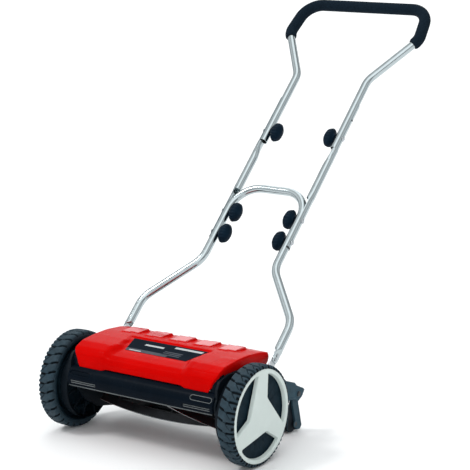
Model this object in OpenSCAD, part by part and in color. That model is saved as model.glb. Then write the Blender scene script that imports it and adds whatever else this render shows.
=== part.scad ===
// Hand-pushed reel mower: two driven wheels turn a helical reel against a fixed bed knife.
// Lateral +X is the right wheel, the mower drives towards -Y and the handle rises towards +Y.
// Everything is drawn about the wheel axle and moved once, so that the origin ends up on the
// ground in the middle of the mower's outline.

/* [Wheels] */
// Outer diameter of the tyres
wheel_d = 250; // [244:1:256]
// Width of a tyre
tyre_w = 47.5; // [44:0.5:50]
// Distance from the middle of the mower to the outer face of a wheel
wheel_outer = 298.7; // [297:0.1:302]
// Diameter of the light wheel cap
cap_d = 231; // [226:1:234]
// Diameter of the stub axles
axle_d = 16; // [14:1:18]

/* [Drive] */
// Module of the wheel gear teeth
gear_module = 2; // [2:1:2]
// Teeth of the internal gear in each wheel
ring_teeth = 75; // [75:1:75]
// Teeth of each reel pinion
pinion_teeth = 15; // [15:1:15]
// Face width of the gears
gear_face = 16; // [12:1:16]

/* [Reel] */
// Diameter swept by the blades
reel_d = 148; // [140:1:148]
// Length of the blades
reel_len = 386; // [370:1:388]
// Number of helical blades
blade_count = 5; // [5:1:5]
// Helix angle that a blade winds over its length, in degrees
blade_wind = 95; // [80:1:110]
// Blade position at the middle of the reel, in degrees in front of the lowest point
blade_phase = 16; // [0:1:71]
// How far the reel axis lies below the wheel axle
reel_drop = 8; // [6:0.5:10]
// Diameter of the reel shaft
reel_shaft_d = 14; // [13:1:16]

/* [Chassis] */
// Distance from the middle to the inner face of a side plate
plate_in = 221; // [221:0.5:222]
// Thickness of a side plate
plate_t = 7; // [6:0.5:7]
// Wall thickness of the moulded covers
shell_t = 3; // [2.5:0.5:3.5]

/* [Roller] */
// Diameter of the rear roller
roller_d = 44; // [42:1:44]
// Length of the rear roller
roller_len = 434; // [400:1:436]
// Distance of the height pivot behind the axle
pivot_y = 260; // [256:1:264]
// Depth of the height pivot below the axle
pivot_drop = 20.5; // [18:0.5:24]

/* [Handle] */
// Slope of the handle above the ground, in degrees
handle_slope = 43.9; // [40:0.1:48]
// Outer diameter of the handle tubes
tube_d = 22; // [22:1:22]
// Wall thickness of the handle tubes
tube_wall = 1.5; // [1.2:0.1:2]
// Half distance between the lower legs
leg_x = 233.3; // [232.6:0.1:233.6]
// Half distance between the straight neck tubes
neck_x = 113.6; // [110:0.1:118]
// Widest half distance of the upper handle
top_x = 209.3; // [200:0.1:215]
// Distance along the slope to the middle of the top bar
top_v = 1293.2; // [1270:0.1:1300]
// Outer diameter of the foam grip
grip_d = 32.6; // [30:0.1:34]
// Length of an oval hand knob along the tube
knob_long = 57; // [50:1:60]
// Width of an oval hand knob across the tube
knob_short = 41; // [36:1:46]

/* [Hidden] */
LEFT = -1;
RIGHT = 1;
eps = 0.01;
run_gap = 0.05;
press_gap = 0.02;
$fn = 64;

// Shared places
axle_z = wheel_d / 2;
tyre_in = wheel_outer - tyre_w;
handle_y = 51.3;
grip_back = handle_y + top_v * cos(handle_slope) + grip_d / 2;
mid_y = (grip_back - wheel_d / 2) / 2;
plate_out = plate_in + plate_t;

// Gear and reel geometry
ring_pitch_r = gear_module * ring_teeth / 2;
pinion_pitch_r = gear_module * pinion_teeth / 2;
centre_dist = ring_pitch_r - pinion_pitch_r;
reel_z = -reel_drop;
reel_y = sqrt(centre_dist * centre_dist - reel_z * reel_z);
reel_r = reel_d / 2;
mesh_angle = atan2(reel_z, reel_y);
pressure = 20;
tooth_add = 0.8 * gear_module;
tooth_ded = 1.1 * gear_module;
backlash = 0.35;
gear_x = 263;
ring_body_r = 84;
shaft_end_r = 6;
shaft_end_x = gear_x + gear_face;
shaft_step_x = 203;

// Wheel sections
hub_r = axle_d / 2 + 8;
web_x = 281;
web_t = 3.5;
cap_x = 289.2;
seat_r = 108;
tyre_lip_r = cap_d / 2 + 0.4;
crown = 1.6;
window_r = 103;
window_in_r = 50;
window_edge = 12;
window_vertex = 28;
window_end = 107;
spoke_phase = 85;
nut_x = 286.4;
nut_h = 5;

// Side plate and gear drum
drum_r = 94;
drum_x = 246;
drum_t = 3;
bearing_r = 16;
boss_r = 21;
boss_x = 205;
front_bar_y = -62;
front_bar_z = 30;
front_bar_r = 36;
handle_pivot_v = 75;
handle_pivot_y = handle_y + handle_pivot_v * cos(handle_slope);
handle_pivot_z = handle_pivot_v * sin(handle_slope);

// Bed knife
cut_back_angle = 20;
cut_gap = 0.4;
knife_t = 3;
knife_w = 42;
knife_y = reel_y + (reel_r + cut_gap) * sin(cut_back_angle);
knife_z = reel_z - (reel_r + cut_gap) * cos(cut_back_angle);
knife_len = 400;
bar_y = 105;

// Roller arms and height bracket
roller_y = pivot_y + 3;
roller_z = roller_d / 2 - axle_z;
roller_axle_r = 6;
arm_in = 219;
arm_t = 7.5;
arm_r = 12.5;
ear_x = 229.5;
ear_t = 6.5;
pivot_r = 4;

// Handle stations along the slope
bend_b = 246.9;
bend_c = 390.8;
arch_v = 635.6;
flat_start = 178;
flat_end = 130;
strap_end = 161.8;
strap_in = 231.6;
strap_t = 3.4;
strap_w = 25;
screw_v = [138, 150];
upper_start = 791;
bend_f = 1030.8;
bend_g = 1184.6;
grip_v = 1166;
corner_x = 195.6;
strut_x = 116.6;
strut_lo = 461;
strut_hi = 942;
round_lo = 622;
round_hi = 764;
saddle_gap = 0.15;
saddle_wrap = 130;
spare_v = 890;
bolt_r = 3;
bolt_hole_r = 3.2;
bolt_vs = [480, 550, 826];
tube_r = tube_d / 2;
bore_r = tube_r - tube_wall;

// Colours
BLACK = [0.07, 0.08, 0.09];
RED = [0.8, 0.02, 0.02];
GREY = [0.8, 0.82, 0.8];
STEEL = [0.72, 0.74, 0.76];
DARK = [0.2, 0.21, 0.23];

// ---- Helpers ----

// Moves the drawing frame from the axle to the ground under the middle of the mower.
module placed() {
    translate([0, -mid_y, axle_z]) children();
}

// Mirrors to the left side where s is LEFT.
module on_side(s) {
    mirror([s == LEFT ? 1 : 0, 0, 0]) children();
}

// Extrudes a YZ outline along X.
module along_x(x0, x1) {
    translate([x0, 0, 0]) rotate([90, 0, 90]) linear_extrude(x1 - x0) children();
}

// A round bar along X through the point (y, z).
module bar_x(x0, x1, r, y = 0, z = 0, fn = 48) {
    translate([x0, y, z]) rotate([0, 90, 0]) cylinder(h = x1 - x0, r = r, $fn = fn);
}

// Revolves an outline of (radius, x) points about the X axis.
module about_x(points, fn = 96) {
    rotate([0, 90, 0]) rotate_extrude($fn = fn) polygon(points);
}

// Handle frame: X lateral, Y up the slope, Z square to the slope.
module handle_frame() {
    translate([0, handle_y, 0]) rotate([handle_slope, 0, 0]) children();
}

// A slot outline with round ends between two points; the sides sit just inside the ends.
module slot_2d(a, b, r) {
    d = b - a;
    side_r = r - 0.03;
    translate(a) circle(r);
    translate(b) circle(r);
    translate(a) rotate(atan2(d[1], d[0])) translate([0, -side_r]) square([norm(d), 2 * side_r]);
}

// ---- Gear teeth ----

function inv_deg(a) = tan(a) * 180 / PI - a;
function half_tooth(r, teeth, slack) =
    let (rp = gear_module * teeth / 2, rb = rp * cos(pressure))
    90 / teeth + slack / rp * 180 / PI / 2 + inv_deg(pressure) - inv_deg(acos(min(1, rb / r)));
function tooth_side(teeth, r_root, r_tip, slack, steps) =
    let (rb = gear_module * teeth / 2 * cos(pressure), r0 = max(r_root, rb + eps))
    [for (i = [0:steps]) let (r = r0 + (r_tip - r0) * i / steps) [r, half_tooth(r, teeth, slack)]];
function gear_points(teeth, r_root, r_tip, slack, steps = 4) =
    let (side = tooth_side(teeth, r_root, r_tip, slack, steps), root_a = side[0][1])
    [for (k = [0:teeth - 1]) let (c = 360 * k / teeth) each concat(
        [[r_root * cos(c - root_a), r_root * sin(c - root_a)]],
        [for (p = side) [p[0] * cos(c - p[1]), p[0] * sin(c - p[1])]],
        [for (i = [steps:-1:0]) let (p = side[i]) [p[0] * cos(c + p[1]), p[0] * sin(c + p[1])]],
        [[r_root * cos(c + root_a), r_root * sin(c + root_a)]])];

// ---- Planar tube paths ----

// A path is a list of [x, v] corners from the mirror plane outwards, each with a bend radius.
// Bends are a hair fuller than the straights, which run into them by a short lap.
lap = 1;
bend_full = 0.05;
function unit(v) = v / norm(v);
function turn_at(p, i) =
    let (a = unit(p[i] - p[i - 1]), b = unit(p[i + 1] - p[i])) atan2(a[0] * b[1] - a[1] * b[0], a * b);
function trim_at(p, radii, i) =
    i == 0 || i == len(p) - 1 ? 0 : radii[i] * tan(abs(turn_at(p, i)) / 2) - lap;

// Straight number i of a path, from corner i to the next one.
module path_straight(p, radii, r, i, ext) {
    along = unit(p[i + 1] - p[i]);
    start = p[i] + along * trim_at(p, radii, i);
    stop = p[i + 1] - along * trim_at(p, radii, i + 1);
    translate(start) rotate([0, 0, atan2(along[1], along[0])]) rotate([0, 90, 0])
        cylinder(h = norm(stop - start) + ext, r = r);
}

// Arc that rounds corner i of a path.
module path_bend(p, radii, r, i) {
    turn = turn_at(p, i);
    side = turn > 0 ? 1 : -1;
    along = unit(p[i] - p[i - 1]);
    inward = side * [-along[1], along[0]];
    centre = p[i] - along * radii[i] * tan(abs(turn) / 2) + inward * radii[i];
    start_angle = atan2(-inward[1], -inward[0]);
    translate(centre) rotate([0, 0, side > 0 ? start_angle : start_angle - abs(turn)])
        rotate_extrude(angle = abs(turn)) translate([radii[i], 0]) circle(r);
}

// Solid rod along a path and its mirror image, with one straight across the mirror plane.
module path_rod(p, radii, r, ext) {
    last = len(p) - 2;
    reach = p[1][0] - trim_at(p, radii, 1);
    translate([-reach, p[0][1], 0]) rotate([0, 90, 0]) cylinder(h = 2 * reach, r = r);
    for (s = [LEFT, RIGHT]) on_side(s) for (i = [1:last]) {
        path_bend(p, radii, r + bend_full, i);
        path_straight(p, radii, r, i, i == last ? ext : 0);
    }
}

module path_tube(p, radii, r_out, r_in) {
    difference() {
        path_rod(p, radii, r_out, 0);
        path_rod(p, radii, r_in, 1);
    }
}

// ---- Chassis ----

// Outline of a side plate in the YZ plane.
plate_points = [
    [-86, 40], [-84, 74], [-74, 92], [-40, 101], [60, 101], [128, 84], [150, 50], [214, 26],
    [214, -34], [150, -44], [142, -82], [84, -86], [20, -72], [-30, -40], [front_bar_y, 0]
];

module side_plate(s) {
    color(BLACK) placed() on_side(s) difference() {
        union() {
            along_x(plate_in, plate_out) {
                polygon(plate_points);
                translate([front_bar_y, front_bar_z]) circle(31);
            }
            bar_x(boss_x, plate_in + eps, boss_r, reel_y, reel_z);
            bar_x(plate_out - eps, strap_in, 11, handle_pivot_y, handle_pivot_z);
            difference() {
                bar_x(plate_out - eps, drum_x + drum_t, drum_r, fn = 96);
                bar_x(plate_out, drum_x, drum_r - 4, fn = 96);
            }
            bar_x(plate_out - eps, drum_x + drum_t, axle_d / 2 + 6);
        }
        bar_x(plate_in - 1, wheel_outer, axle_d / 2 + press_gap);
        bar_x(boss_x - 1, plate_out + 1, bearing_r + press_gap, reel_y, reel_z);
        bar_x(drum_x - 1, drum_x + drum_t + 1, 9, reel_y, reel_z);
        bar_x(plate_in - 1, strap_in + 1, pivot_r + press_gap, handle_pivot_y, handle_pivot_z);
        for (p = tie_spots) bar_x(plate_in - 1, plate_out + 1, tie_r + press_gap, p[0], p[1]);
        for (p = bracket_spots) bar_x(plate_in - 1, plate_out + 1, bolt_r + press_gap, p[0], p[1]);
    }
}

// Hollow rounded bar across the front, with two pressed-in grip slots at each end and a solid
// shoulder that fills the gap between each side plate and the leaning end of the cover.
housing_end = plate_in - 0.4;
housing_wall = 3.5;
lip_z = 14;
slot_x = [155, 216];
low_slot_x = [132, 214];
slot_depth = 2.5;

module housing_outline() {
    difference() {
        translate([front_bar_y, front_bar_z]) circle(front_bar_r, $fn = 96);
        translate([front_bar_y, front_bar_z]) circle(front_bar_r - housing_wall, $fn = 96);
        translate([front_bar_y - 10, -100]) square([200, 200]);
        translate([-200, lip_z - 100]) square([400, 100]);
    }
    translate([-92.6, lip_z]) square([12, 2.4]);
}

module housing_slot(x0, x1, angle) {
    translate([0, front_bar_y, front_bar_z]) rotate([angle, 0, 0])
        translate([0, -front_bar_r - 1, 0]) rotate([-90, 0, 0])
        linear_extrude(slot_depth + 1) slot_2d([x0 + 6, 0], [x1 - 6, 0], 6);
}

shoulder_gap = 0.8;
shoulder_top = 101;

module housing_shoulder() {
    intersection() {
        along_x(cover_low_half, housing_end) polygon([
            [-75, 55], [-75, 82], [-71, 94], [-60, shoulder_top], [-46, shoulder_top], [-46, 62], [-68, 55]
        ]);
        translate([0, 200, 0]) rotate([90, 0, 0]) linear_extrude(400) polygon([
            [cover_low_half + shoulder_gap, 50], [cover_low_half + shoulder_gap, 65],
            [cover_half + shoulder_gap, cover_tip_z], [300, cover_tip_z], [300, 50]
        ]);
    }
}

module front_housing() {
    color(BLACK) placed() difference() {
        union() {
            along_x(-housing_end, housing_end) housing_outline();
            for (s = [LEFT, RIGHT]) on_side(s) housing_shoulder();
        }
        for (s = [LEFT, RIGHT]) on_side(s) {
            housing_slot(slot_x[0], slot_x[1], -30);
            housing_slot(low_slot_x[0], low_slot_x[1], 9);
        }
    }
}

// Outer profile of the top cover in the YZ plane, from the front lip over the top to the rear.
cover_profile = [
    [-80, 65], [-78, 92], [-67, 108], [-42, 119], [0, 124], [60, 125], [112, 120], [146, 108], [149, 74]
];
cover_inner = [
    [-76.5, 60], [-75, 91], [-65, 105], [-41, 116], [0, 121], [60, 122], [111, 117], [143, 106], [146, 60]
];
cover_half = 219.5;
cover_low_half = 197;
cover_tip_z = 104;
panel_half = 126;
panel_slope = 9.2;
panel_y = -28;
panel_z = 109;
pad_xs = [-150, -75, 0, 75, 150];
pad_w = 52;
pad_y = [72, 118];
pad_z = 129.5;

// Front view of the cover: the ends lean in towards the bottom.
module cover_ends(inset) {
    translate([0, 200, 0]) rotate([90, 0, 0]) linear_extrude(400) polygon([
        [-cover_low_half + inset, 40], [-cover_low_half + inset, 65], [-cover_half + inset, cover_tip_z],
        [-cover_half + inset, 118 - inset], [-cover_half + 9 + inset, 160], [cover_half - 9 - inset, 160],
        [cover_half - inset, 118 - inset], [cover_half - inset, cover_tip_z], [cover_low_half - inset, 65],
        [cover_low_half - inset, 40]
    ]);
}

// Wedge that sinks the sloping label panel into the top of the cover.
module panel_cut(lift) {
    translate([0, panel_y, panel_z + lift]) rotate([panel_slope, 0, 0])
        translate([-panel_half, -60, 0]) cube([2 * panel_half, 200, 40]);
}

module cover_pad(x) {
    along_x(x - pad_w / 2, x + pad_w / 2)
        polygon([[pad_y[0] - 8, 121], [pad_y[0], pad_z], [pad_y[1], pad_z], [pad_y[1] + 8, 117]]);
}

module top_cover() {
    color(RED) placed() difference() {
        union() {
            difference() {
                intersection() {
                    along_x(-cover_half, cover_half) polygon(concat(cover_profile, [[149, 65]]));
                    cover_ends(0);
                }
                panel_cut(0);
            }
            for (x = pad_xs) cover_pad(x);
        }
        difference() {
            intersection() {
                along_x(-cover_half, cover_half) polygon(cover_inner);
                cover_ends(shell_t);
            }
            panel_cut(-shell_t);
        }
        for (p = cover_screw_spots) translate([p[0], p[1], 90]) cylinder(h = 60, r = 2.2, $fn = 24);
    }
}

// Plain label plate on the sloping panel, wider along its upper edge.
label_low_half = 94;
label_top_half = 116;
label_len = 69;
label_t = 0.6;

module cover_label() {
    color(BLACK) placed() translate([0, panel_y, panel_z]) rotate([panel_slope, 0, 0])
        linear_extrude(label_t) polygon([
            [-label_low_half, 0], [label_low_half, 0], [label_top_half, label_len], [-label_top_half, label_len]
        ]);
}

cover_screw_spots = [[-176, 132], [176, 132]];

module cover_screws() {
    color(DARK) placed() for (p = cover_screw_spots) translate([p[0], p[1], 0]) {
        translate([0, 0, 100]) cylinder(h = 20, r = 2, $fn = 24);
        translate([0, 0, 115]) cylinder(h = 3, r = 4.5, $fn = 24);
    }
}

// Short screws that hold the front bar to each side plate.
housing_screw_spots = [[-62, 52], [-62, 8]];

module housing_screws() {
    color(DARK) placed() for (s = [LEFT, RIGHT]) on_side(s) for (p = housing_screw_spots)
        bar_x(plate_out + 0.1, plate_out + 3, 4.5, p[0], p[1], 24);
}

tie_r = 5;
tie_spots = [[140, 40], [-30, 56]];

module tie_bar() {
    color(STEEL) placed() for (p = tie_spots) bar_x(-plate_out, plate_out, tie_r, p[0], p[1]);
}

module bed_bar() {
    color(BLACK) placed() along_x(-plate_in + 0.2, plate_in - 0.2) polygon([
        [bar_y, knife_z], [141, knife_z], [141, -40], [137, -40], [137, knife_z + 5], [bar_y, knife_z + 5]
    ]);
}

module bed_knife() {
    color(STEEL) placed() along_x(-knife_len / 2, knife_len / 2) polygon([
        [knife_y, knife_z], [knife_y + knife_w, knife_z], [knife_y + knife_w, knife_z - knife_t],
        [knife_y + 4, knife_z - knife_t]
    ]);
}

module bed_knife_screws() {
    color(DARK) placed() for (x = [-160:80:160])
        translate([x, 118, knife_z - knife_t - 2]) cylinder(h = 2, r = 4.5, $fn = 24);
}

// Stub axle pressed into a side plate, with a threaded nose for the wheel nut.
axle_nose_r = 5;

module axle(s) {
    color(STEEL) placed() on_side(s) {
        bar_x(plate_in - 4, plate_in - eps, 14);
        bar_x(plate_in - eps, nut_x - 0.2, axle_d / 2);
        bar_x(nut_x - 0.2 - eps, nut_x + nut_h + 1, axle_nose_r);
    }
}

module wheel_nut(s) {
    color(STEEL) placed() on_side(s) difference() {
        translate([nut_x, 0, 0]) rotate([0, 90, 0]) cylinder(h = nut_h, r = 9.8, $fn = 6);
        bar_x(nut_x - 1, nut_x + nut_h + 1, axle_nose_r + press_gap);
    }
}

module reel_bearing(s) {
    color(STEEL) placed() on_side(s) difference() {
        bar_x(boss_x + 2, boss_x + 14, bearing_r, reel_y, reel_z);
        bar_x(boss_x, boss_x + 16, shaft_end_r + run_gap, reel_y, reel_z);
    }
}

// Ear bracket on each side plate that carries the pivot of a roller arm.
bracket_spots = [[184, 16], [184, -20]];
bracket_points = [
    [166, 33], [207, 26], [243, 13], [253, 3], [284, -11], [289, -16], [278, -31], [257, -41],
    [242, -31], [222, -28], [166, -32]
];

module height_bracket(s) {
    color(BLACK) placed() on_side(s) difference() {
        union() {
            along_x(ear_x, ear_x + ear_t) polygon(bracket_points);
            along_x(plate_out + 0.1, ear_x + eps) polygon([[170, 30], [205, 23], [205, -26], [170, -29]]);
        }
        for (p = bracket_spots) bar_x(plate_out - 1, ear_x + ear_t + 1, bolt_r + press_gap, p[0], p[1]);
        bar_x(ear_x - 1, ear_x + ear_t + 1, pivot_r + press_gap, pivot_y, -pivot_drop);
    }
}

module bracket_screws() {
    color(STEEL) placed() for (s = [LEFT, RIGHT]) on_side(s) for (p = bracket_spots) {
        bar_x(plate_in - 3, ear_x + ear_t + eps, bolt_r, p[0], p[1], 32);
        bar_x(ear_x + ear_t, ear_x + ear_t + 3, 5.5, p[0], p[1], 32);
    }
}

module arm_pivot_bolts() {
    color(STEEL) placed() for (s = [LEFT, RIGHT]) on_side(s) {
        bar_x(arm_in - 1, ear_x + ear_t + eps, pivot_r, pivot_y, -pivot_drop);
        bar_x(ear_x + ear_t, ear_x + ear_t + 4, 7, pivot_y, -pivot_drop);
    }
}

module handle_pivot_bolts() {
    color(STEEL) placed() for (s = [LEFT, RIGHT]) on_side(s) {
        bar_x(plate_in - 4, strap_in + strap_t + 0.6, pivot_r, handle_pivot_y, handle_pivot_z);
        bar_x(strap_in + strap_t + 0.5, strap_in + strap_t + 5, 7, handle_pivot_y, handle_pivot_z);
    }
}

// ---- Wheels ----

module tyre(s) {
    r = wheel_d / 2;
    color(BLACK) placed() on_side(s) about_x([
        [seat_r + press_gap, tyre_in + 2], [116, tyre_in], [r - 5, tyre_in + 1.5], [r - crown, tyre_in + 6],
        [r, tyre_in + tyre_w / 2 - 6], [r, tyre_in + tyre_w / 2 + 6], [r - crown, wheel_outer - 6],
        [r - 4, wheel_outer - 2], [tyre_lip_r, wheel_outer - 0.3], [tyre_lip_r, cap_x - 0.2],
        [seat_r + press_gap, cap_x - 0.2]
    ]);
}

// Black wheel body: tyre seat, web, hub sleeve and the internal ring gear in one moulding.
module wheel_hub(s) {
    ring_tip_r = ring_pitch_r - tooth_add * 0.9;
    ring_root_r = ring_pitch_r + tooth_ded;
    color(DARK) placed() on_side(s) {
        about_x([
            [axle_d / 2 + run_gap, tyre_in + 1], [hub_r, tyre_in + 1], [hub_r, web_x],
            [seat_r - 6, web_x], [seat_r - 4, tyre_in + 1], [seat_r, tyre_in + 1], [seat_r, cap_x - 0.2],
            [seat_r - 4, cap_x - 0.2], [seat_r - 6, web_x + web_t], [hub_r, web_x + web_t],
            [hub_r, web_x + web_t + 1], [axle_d / 2 + run_gap, web_x + web_t + 1]
        ]);
        along_x(web_x - gear_face - 2, web_x + eps) difference() {
            circle(ring_body_r, $fn = 96);
            rotate(mesh_angle) polygon(gear_points(ring_teeth, ring_tip_r, ring_root_r, backlash, 3));
        }
    }
}

function window_at(r, a) = [r * cos(a), r * sin(a)];

module cap_window(s) {
    intersection() {
        circle(window_r, $fn = 96);
        polygon([
            window_at(window_in_r, s - window_vertex), window_at(1.6 * window_r, s - window_edge + 6),
            window_at(2 * window_r, s - 60), window_at(1.6 * window_r, s - window_end - 9)
        ]);
    }
}

module wheel_cap(s) {
    color(GREY) placed() on_side(s) difference() {
        bar_x(cap_x, wheel_outer, cap_d / 2, fn = 96);
        along_x(cap_x - 1, wheel_outer + 1)
            for (k = [0:2]) cap_window(spoke_phase + 120 * k);
        bar_x(cap_x - 1, nut_x + nut_h + 2, 13);
    }
}

// ---- Reel ----

module reel_shaft() {
    color(STEEL) placed() difference() {
        union() {
            bar_x(-shaft_step_x, shaft_step_x, reel_shaft_d / 2, reel_y, reel_z);
            bar_x(-shaft_end_x, shaft_end_x, shaft_end_r, reel_y, reel_z);
        }
        for (s = [LEFT, RIGHT]) on_side(s) translate([pawl_x - run_gap, reel_y - 10, reel_z - pawl_t / 2 - run_gap])
            cube([pawl_w + 2 * run_gap, 20, pawl_t + 2 * run_gap]);
    }
}

// Start angle of blade k in the YZ plane at the left end of the reel.
function blade_angle(k, x) = -90 - blade_phase + blade_wind * x / reel_len + 360 / blade_count * k;
blade_in_r = 52;
blade_t = 2.2;

module reel_blade(k) {
    color(DARK) placed() translate([-reel_len / 2, reel_y, reel_z]) rotate([90, 0, 90])
        linear_extrude(reel_len, twist = -blade_wind, slices = 32, $fn = 4)
        rotate(blade_angle(k, -reel_len / 2))
        translate([blade_in_r, -blade_t / 2]) square([reel_r - blade_in_r, blade_t]);
}

spider_t = 3;
spider_spacing = 150;

module reel_spider(x) {
    color(DARK) placed() translate([0, reel_y, reel_z]) along_x(x - spider_t / 2, x + spider_t / 2) difference() {
        union() {
            circle(13);
            for (k = [0:blade_count - 1]) rotate(blade_angle(k, x)) translate([0, -6])
                square([blade_in_r - 0.3, 12]);
        }
        circle(reel_shaft_d / 2 + press_gap);
    }
}

// Reel pinion with a notched pocket for the drive pawl.
pawl_x = gear_x - 1.2;
pawl_w = 4;
pawl_t = 4;
pawl_len = 19;
pocket_r = 10;

module pinion(s) {
    color(STEEL) placed() on_side(s) translate([0, reel_y, reel_z]) difference() {
        along_x(gear_x, gear_x + gear_face) rotate(mesh_angle)
            polygon(gear_points(pinion_teeth, pinion_pitch_r - tooth_ded, pinion_pitch_r + tooth_add, -backlash));
        bar_x(gear_x - 1, gear_x + gear_face + 1, shaft_end_r + run_gap);
        bar_x(gear_x - 1, gear_x + 3.2, pocket_r);
    }
}

module pawl(s) {
    color(DARK) placed() on_side(s) translate([pawl_x, reel_y - pawl_len / 2, reel_z - pawl_t / 2])
        cube([pawl_w, pawl_len, pawl_t]);
}

// ---- Rear roller ----

module roller() {
    color(BLACK) placed() difference() {
        bar_x(-roller_len / 2, roller_len / 2, roller_d / 2, roller_y, roller_z, 96);
        bar_x(-roller_len / 2 - 1, roller_len / 2 + 1, roller_axle_r + run_gap, roller_y, roller_z);
    }
}

module roller_axle() {
    color(STEEL) placed() bar_x(-arm_in - arm_t - 1.2, arm_in + arm_t + 1.2, roller_axle_r, roller_y, roller_z);
}

// Outline of a roller arm: round at the height pivot, with a broad foot around the roller.
arm_foot = [[248, -30], [236, -60], [231, -110], [238, -119], [284, -121], [291, -113], [276, -55], [271, -26]];

module arm_outline() {
    translate([pivot_y, -pivot_drop]) circle(arm_r);
    polygon(arm_foot);
}

module roller_arm(s) {
    color(BLACK) placed() on_side(s) difference() {
        along_x(arm_in, arm_in + arm_t) arm_outline();
        bar_x(arm_in - 1, arm_in + arm_t + 1, pivot_r + run_gap, pivot_y, -pivot_drop);
        bar_x(arm_in - 1, arm_in + arm_t + 1, roller_axle_r + press_gap, roller_y, roller_z);
    }
}

// ---- Handle ----

lower_path = [[0, arch_v], [neck_x, arch_v], [neck_x, bend_c], [leg_x, bend_b], [leg_x, flat_start]];
lower_radii = [0, 75, 70, 70, 0];
upper_path = [[0, top_v], [corner_x, top_v], [top_x, bend_g], [neck_x, bend_f], [neck_x, upper_start]];
upper_radii = [0, 58, 45, 60, 0];

// Cross holes for the handle bolts.
module bolt_holes(vs, r) {
    for (v = vs) translate([-neck_x - 30, v, 0]) rotate([0, 90, 0]) cylinder(h = 2 * neck_x + 60, r = r, $fn = 32);
}

// Pressed flat end of a lower leg, with its two screw holes.
module flat_leg_end(s) {
    flat_x = strap_in + strap_t + 0.1;
    on_side(s) difference() {
        union() {
            hull() {
                translate([leg_x, flat_start, 0]) rotate([-90, 0, 0]) cylinder(h = 1, r = tube_r, $fn = 32);
                translate([flat_x, flat_start - 16, -13.5]) cube([3, 1, 27]);
            }
            translate([flat_x, flat_end, -13.5]) cube([3, flat_start - 15 - flat_end, 27]);
        }
        for (v = screw_v) translate([flat_x - 2, v, 0]) rotate([0, 90, 0]) cylinder(h = 8, r = bolt_r + press_gap);
    }
}

module lower_handle_tube() {
    color(STEEL) placed() handle_frame() {
        difference() {
            path_tube(lower_path, lower_radii, tube_r, bore_r);
            bolt_holes([bolt_vs[0], bolt_vs[1]], bolt_hole_r);
        }
        flat_leg_end(LEFT);
        flat_leg_end(RIGHT);
    }
}

// Flat steel strap that hinges on the side plate and carries a handle leg.
module handle_strap(s) {
    color(STEEL) placed() handle_frame() on_side(s) difference() {
        translate([strap_in, 0, 0]) rotate([90, 0, 90]) linear_extrude(strap_t)
            slot_2d([handle_pivot_v, 0], [strap_end - strap_w / 2, 0], strap_w / 2);
        translate([strap_in - 1, handle_pivot_v, 0]) rotate([0, 90, 0]) cylinder(h = 6, r = pivot_r + run_gap);
        for (v = screw_v) translate([strap_in - 1, v, 0]) rotate([0, 90, 0])
            cylinder(h = 6, r = bolt_r + press_gap);
    }
}

module strap_screws() {
    color(STEEL) placed() handle_frame() for (s = [LEFT, RIGHT]) on_side(s) for (v = screw_v)
        translate([strap_in - 2.4, v, 0]) rotate([0, 90, 0]) {
            cylinder(h = 9, r = bolt_r, $fn = 32);
            translate([0, 0, 9]) cylinder(h = 2.6, r = 5, $fn = 32);
        }
}

// Half-round saddle that wraps the outer side of a neck tube.
module saddle(v0, v1) {
    r0 = tube_r + saddle_gap;
    translate([neck_x, v0, 0]) rotate([-90, 0, 0]) rotate([0, 0, -saddle_wrap / 2])
        rotate_extrude(angle = saddle_wrap) translate([r0, 0]) square([tube_wall, v1 - v0]);
}

// Straight middle tube whose two pressed ends wrap the lower and the upper handle tube.
module handle_strut(s) {
    color(STEEL) placed() handle_frame() on_side(s) difference() {
        union() {
            difference() {
                translate([strut_x, round_lo, 0]) rotate([-90, 0, 0]) cylinder(h = round_hi - round_lo, r = tube_r);
                translate([strut_x, round_lo - 1, 0]) rotate([-90, 0, 0])
                    cylinder(h = round_hi - round_lo + 2, r = bore_r);
            }
            saddle(strut_lo, round_lo + 14);
            saddle(round_hi - 14, strut_hi);
        }
        for (v = concat(bolt_vs, [spare_v])) translate([neck_x, v, 0]) rotate([0, 90, 0])
            cylinder(h = 30, r = bolt_hole_r, $fn = 32);
    }
}

module upper_handle_tube() {
    color(STEEL) placed() handle_frame() difference() {
        path_tube(upper_path, upper_radii, tube_r, bore_r);
        bolt_holes([bolt_vs[2]], bolt_hole_r);
    }
}

grip_end_x = top_x - (bend_g - grip_v) * (top_x - neck_x) / (bend_g - bend_f);
grip_path = [[0, top_v], [corner_x, top_v], [top_x, bend_g], [grip_end_x, grip_v]];
grip_radii = [0, 58, 45, 0];

module foam_grip() {
    color(BLACK) placed() handle_frame() path_tube(grip_path, grip_radii, grip_d / 2, tube_r + 0.2);
}

// Carriage bolts from the outside of the handle through saddle and tube into the knobs.
bolt_head_x = neck_x + tube_r + saddle_gap + tube_wall + 0.1;
knob_base_x = neck_x - tube_r - 0.4;
bolt_tip_x = knob_base_x - 12;

module handle_bolts() {
    color(STEEL) placed() handle_frame() for (s = [LEFT, RIGHT]) on_side(s) for (v = bolt_vs)
        translate([bolt_tip_x, v, 0]) rotate([0, 90, 0]) {
            cylinder(h = bolt_head_x - bolt_tip_x + eps, r = bolt_r, $fn = 32);
            translate([0, 0, bolt_head_x - bolt_tip_x]) cylinder(h = 2.8, r1 = 7, r2 = 4, $fn = 40);
        }
}

// Oval hand knob with a ribbed rim and a domed face, screwed on from the inside of the handle.
// Each ring: half width as a share of the rim, height above the foot, depth of the rib grooves.
knob_h = 33.5;
knob_foot_r = 10;
knob_ribs = 18;
knob_points = 2 * knob_ribs;
knob_bore_depth = 15;
knob_rings = [
    [0, 0, 0], [0.12, 3, 0], [0.42, 5.4, 0], [0.86, 8.8, 0.5], [1, 11.6, 1], [1, 20, 1], [0.91, 24.4, 0.7]
];
dome_rings = [[0.74, 28.6, 0], [0.44, 31.8, 0]];

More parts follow.
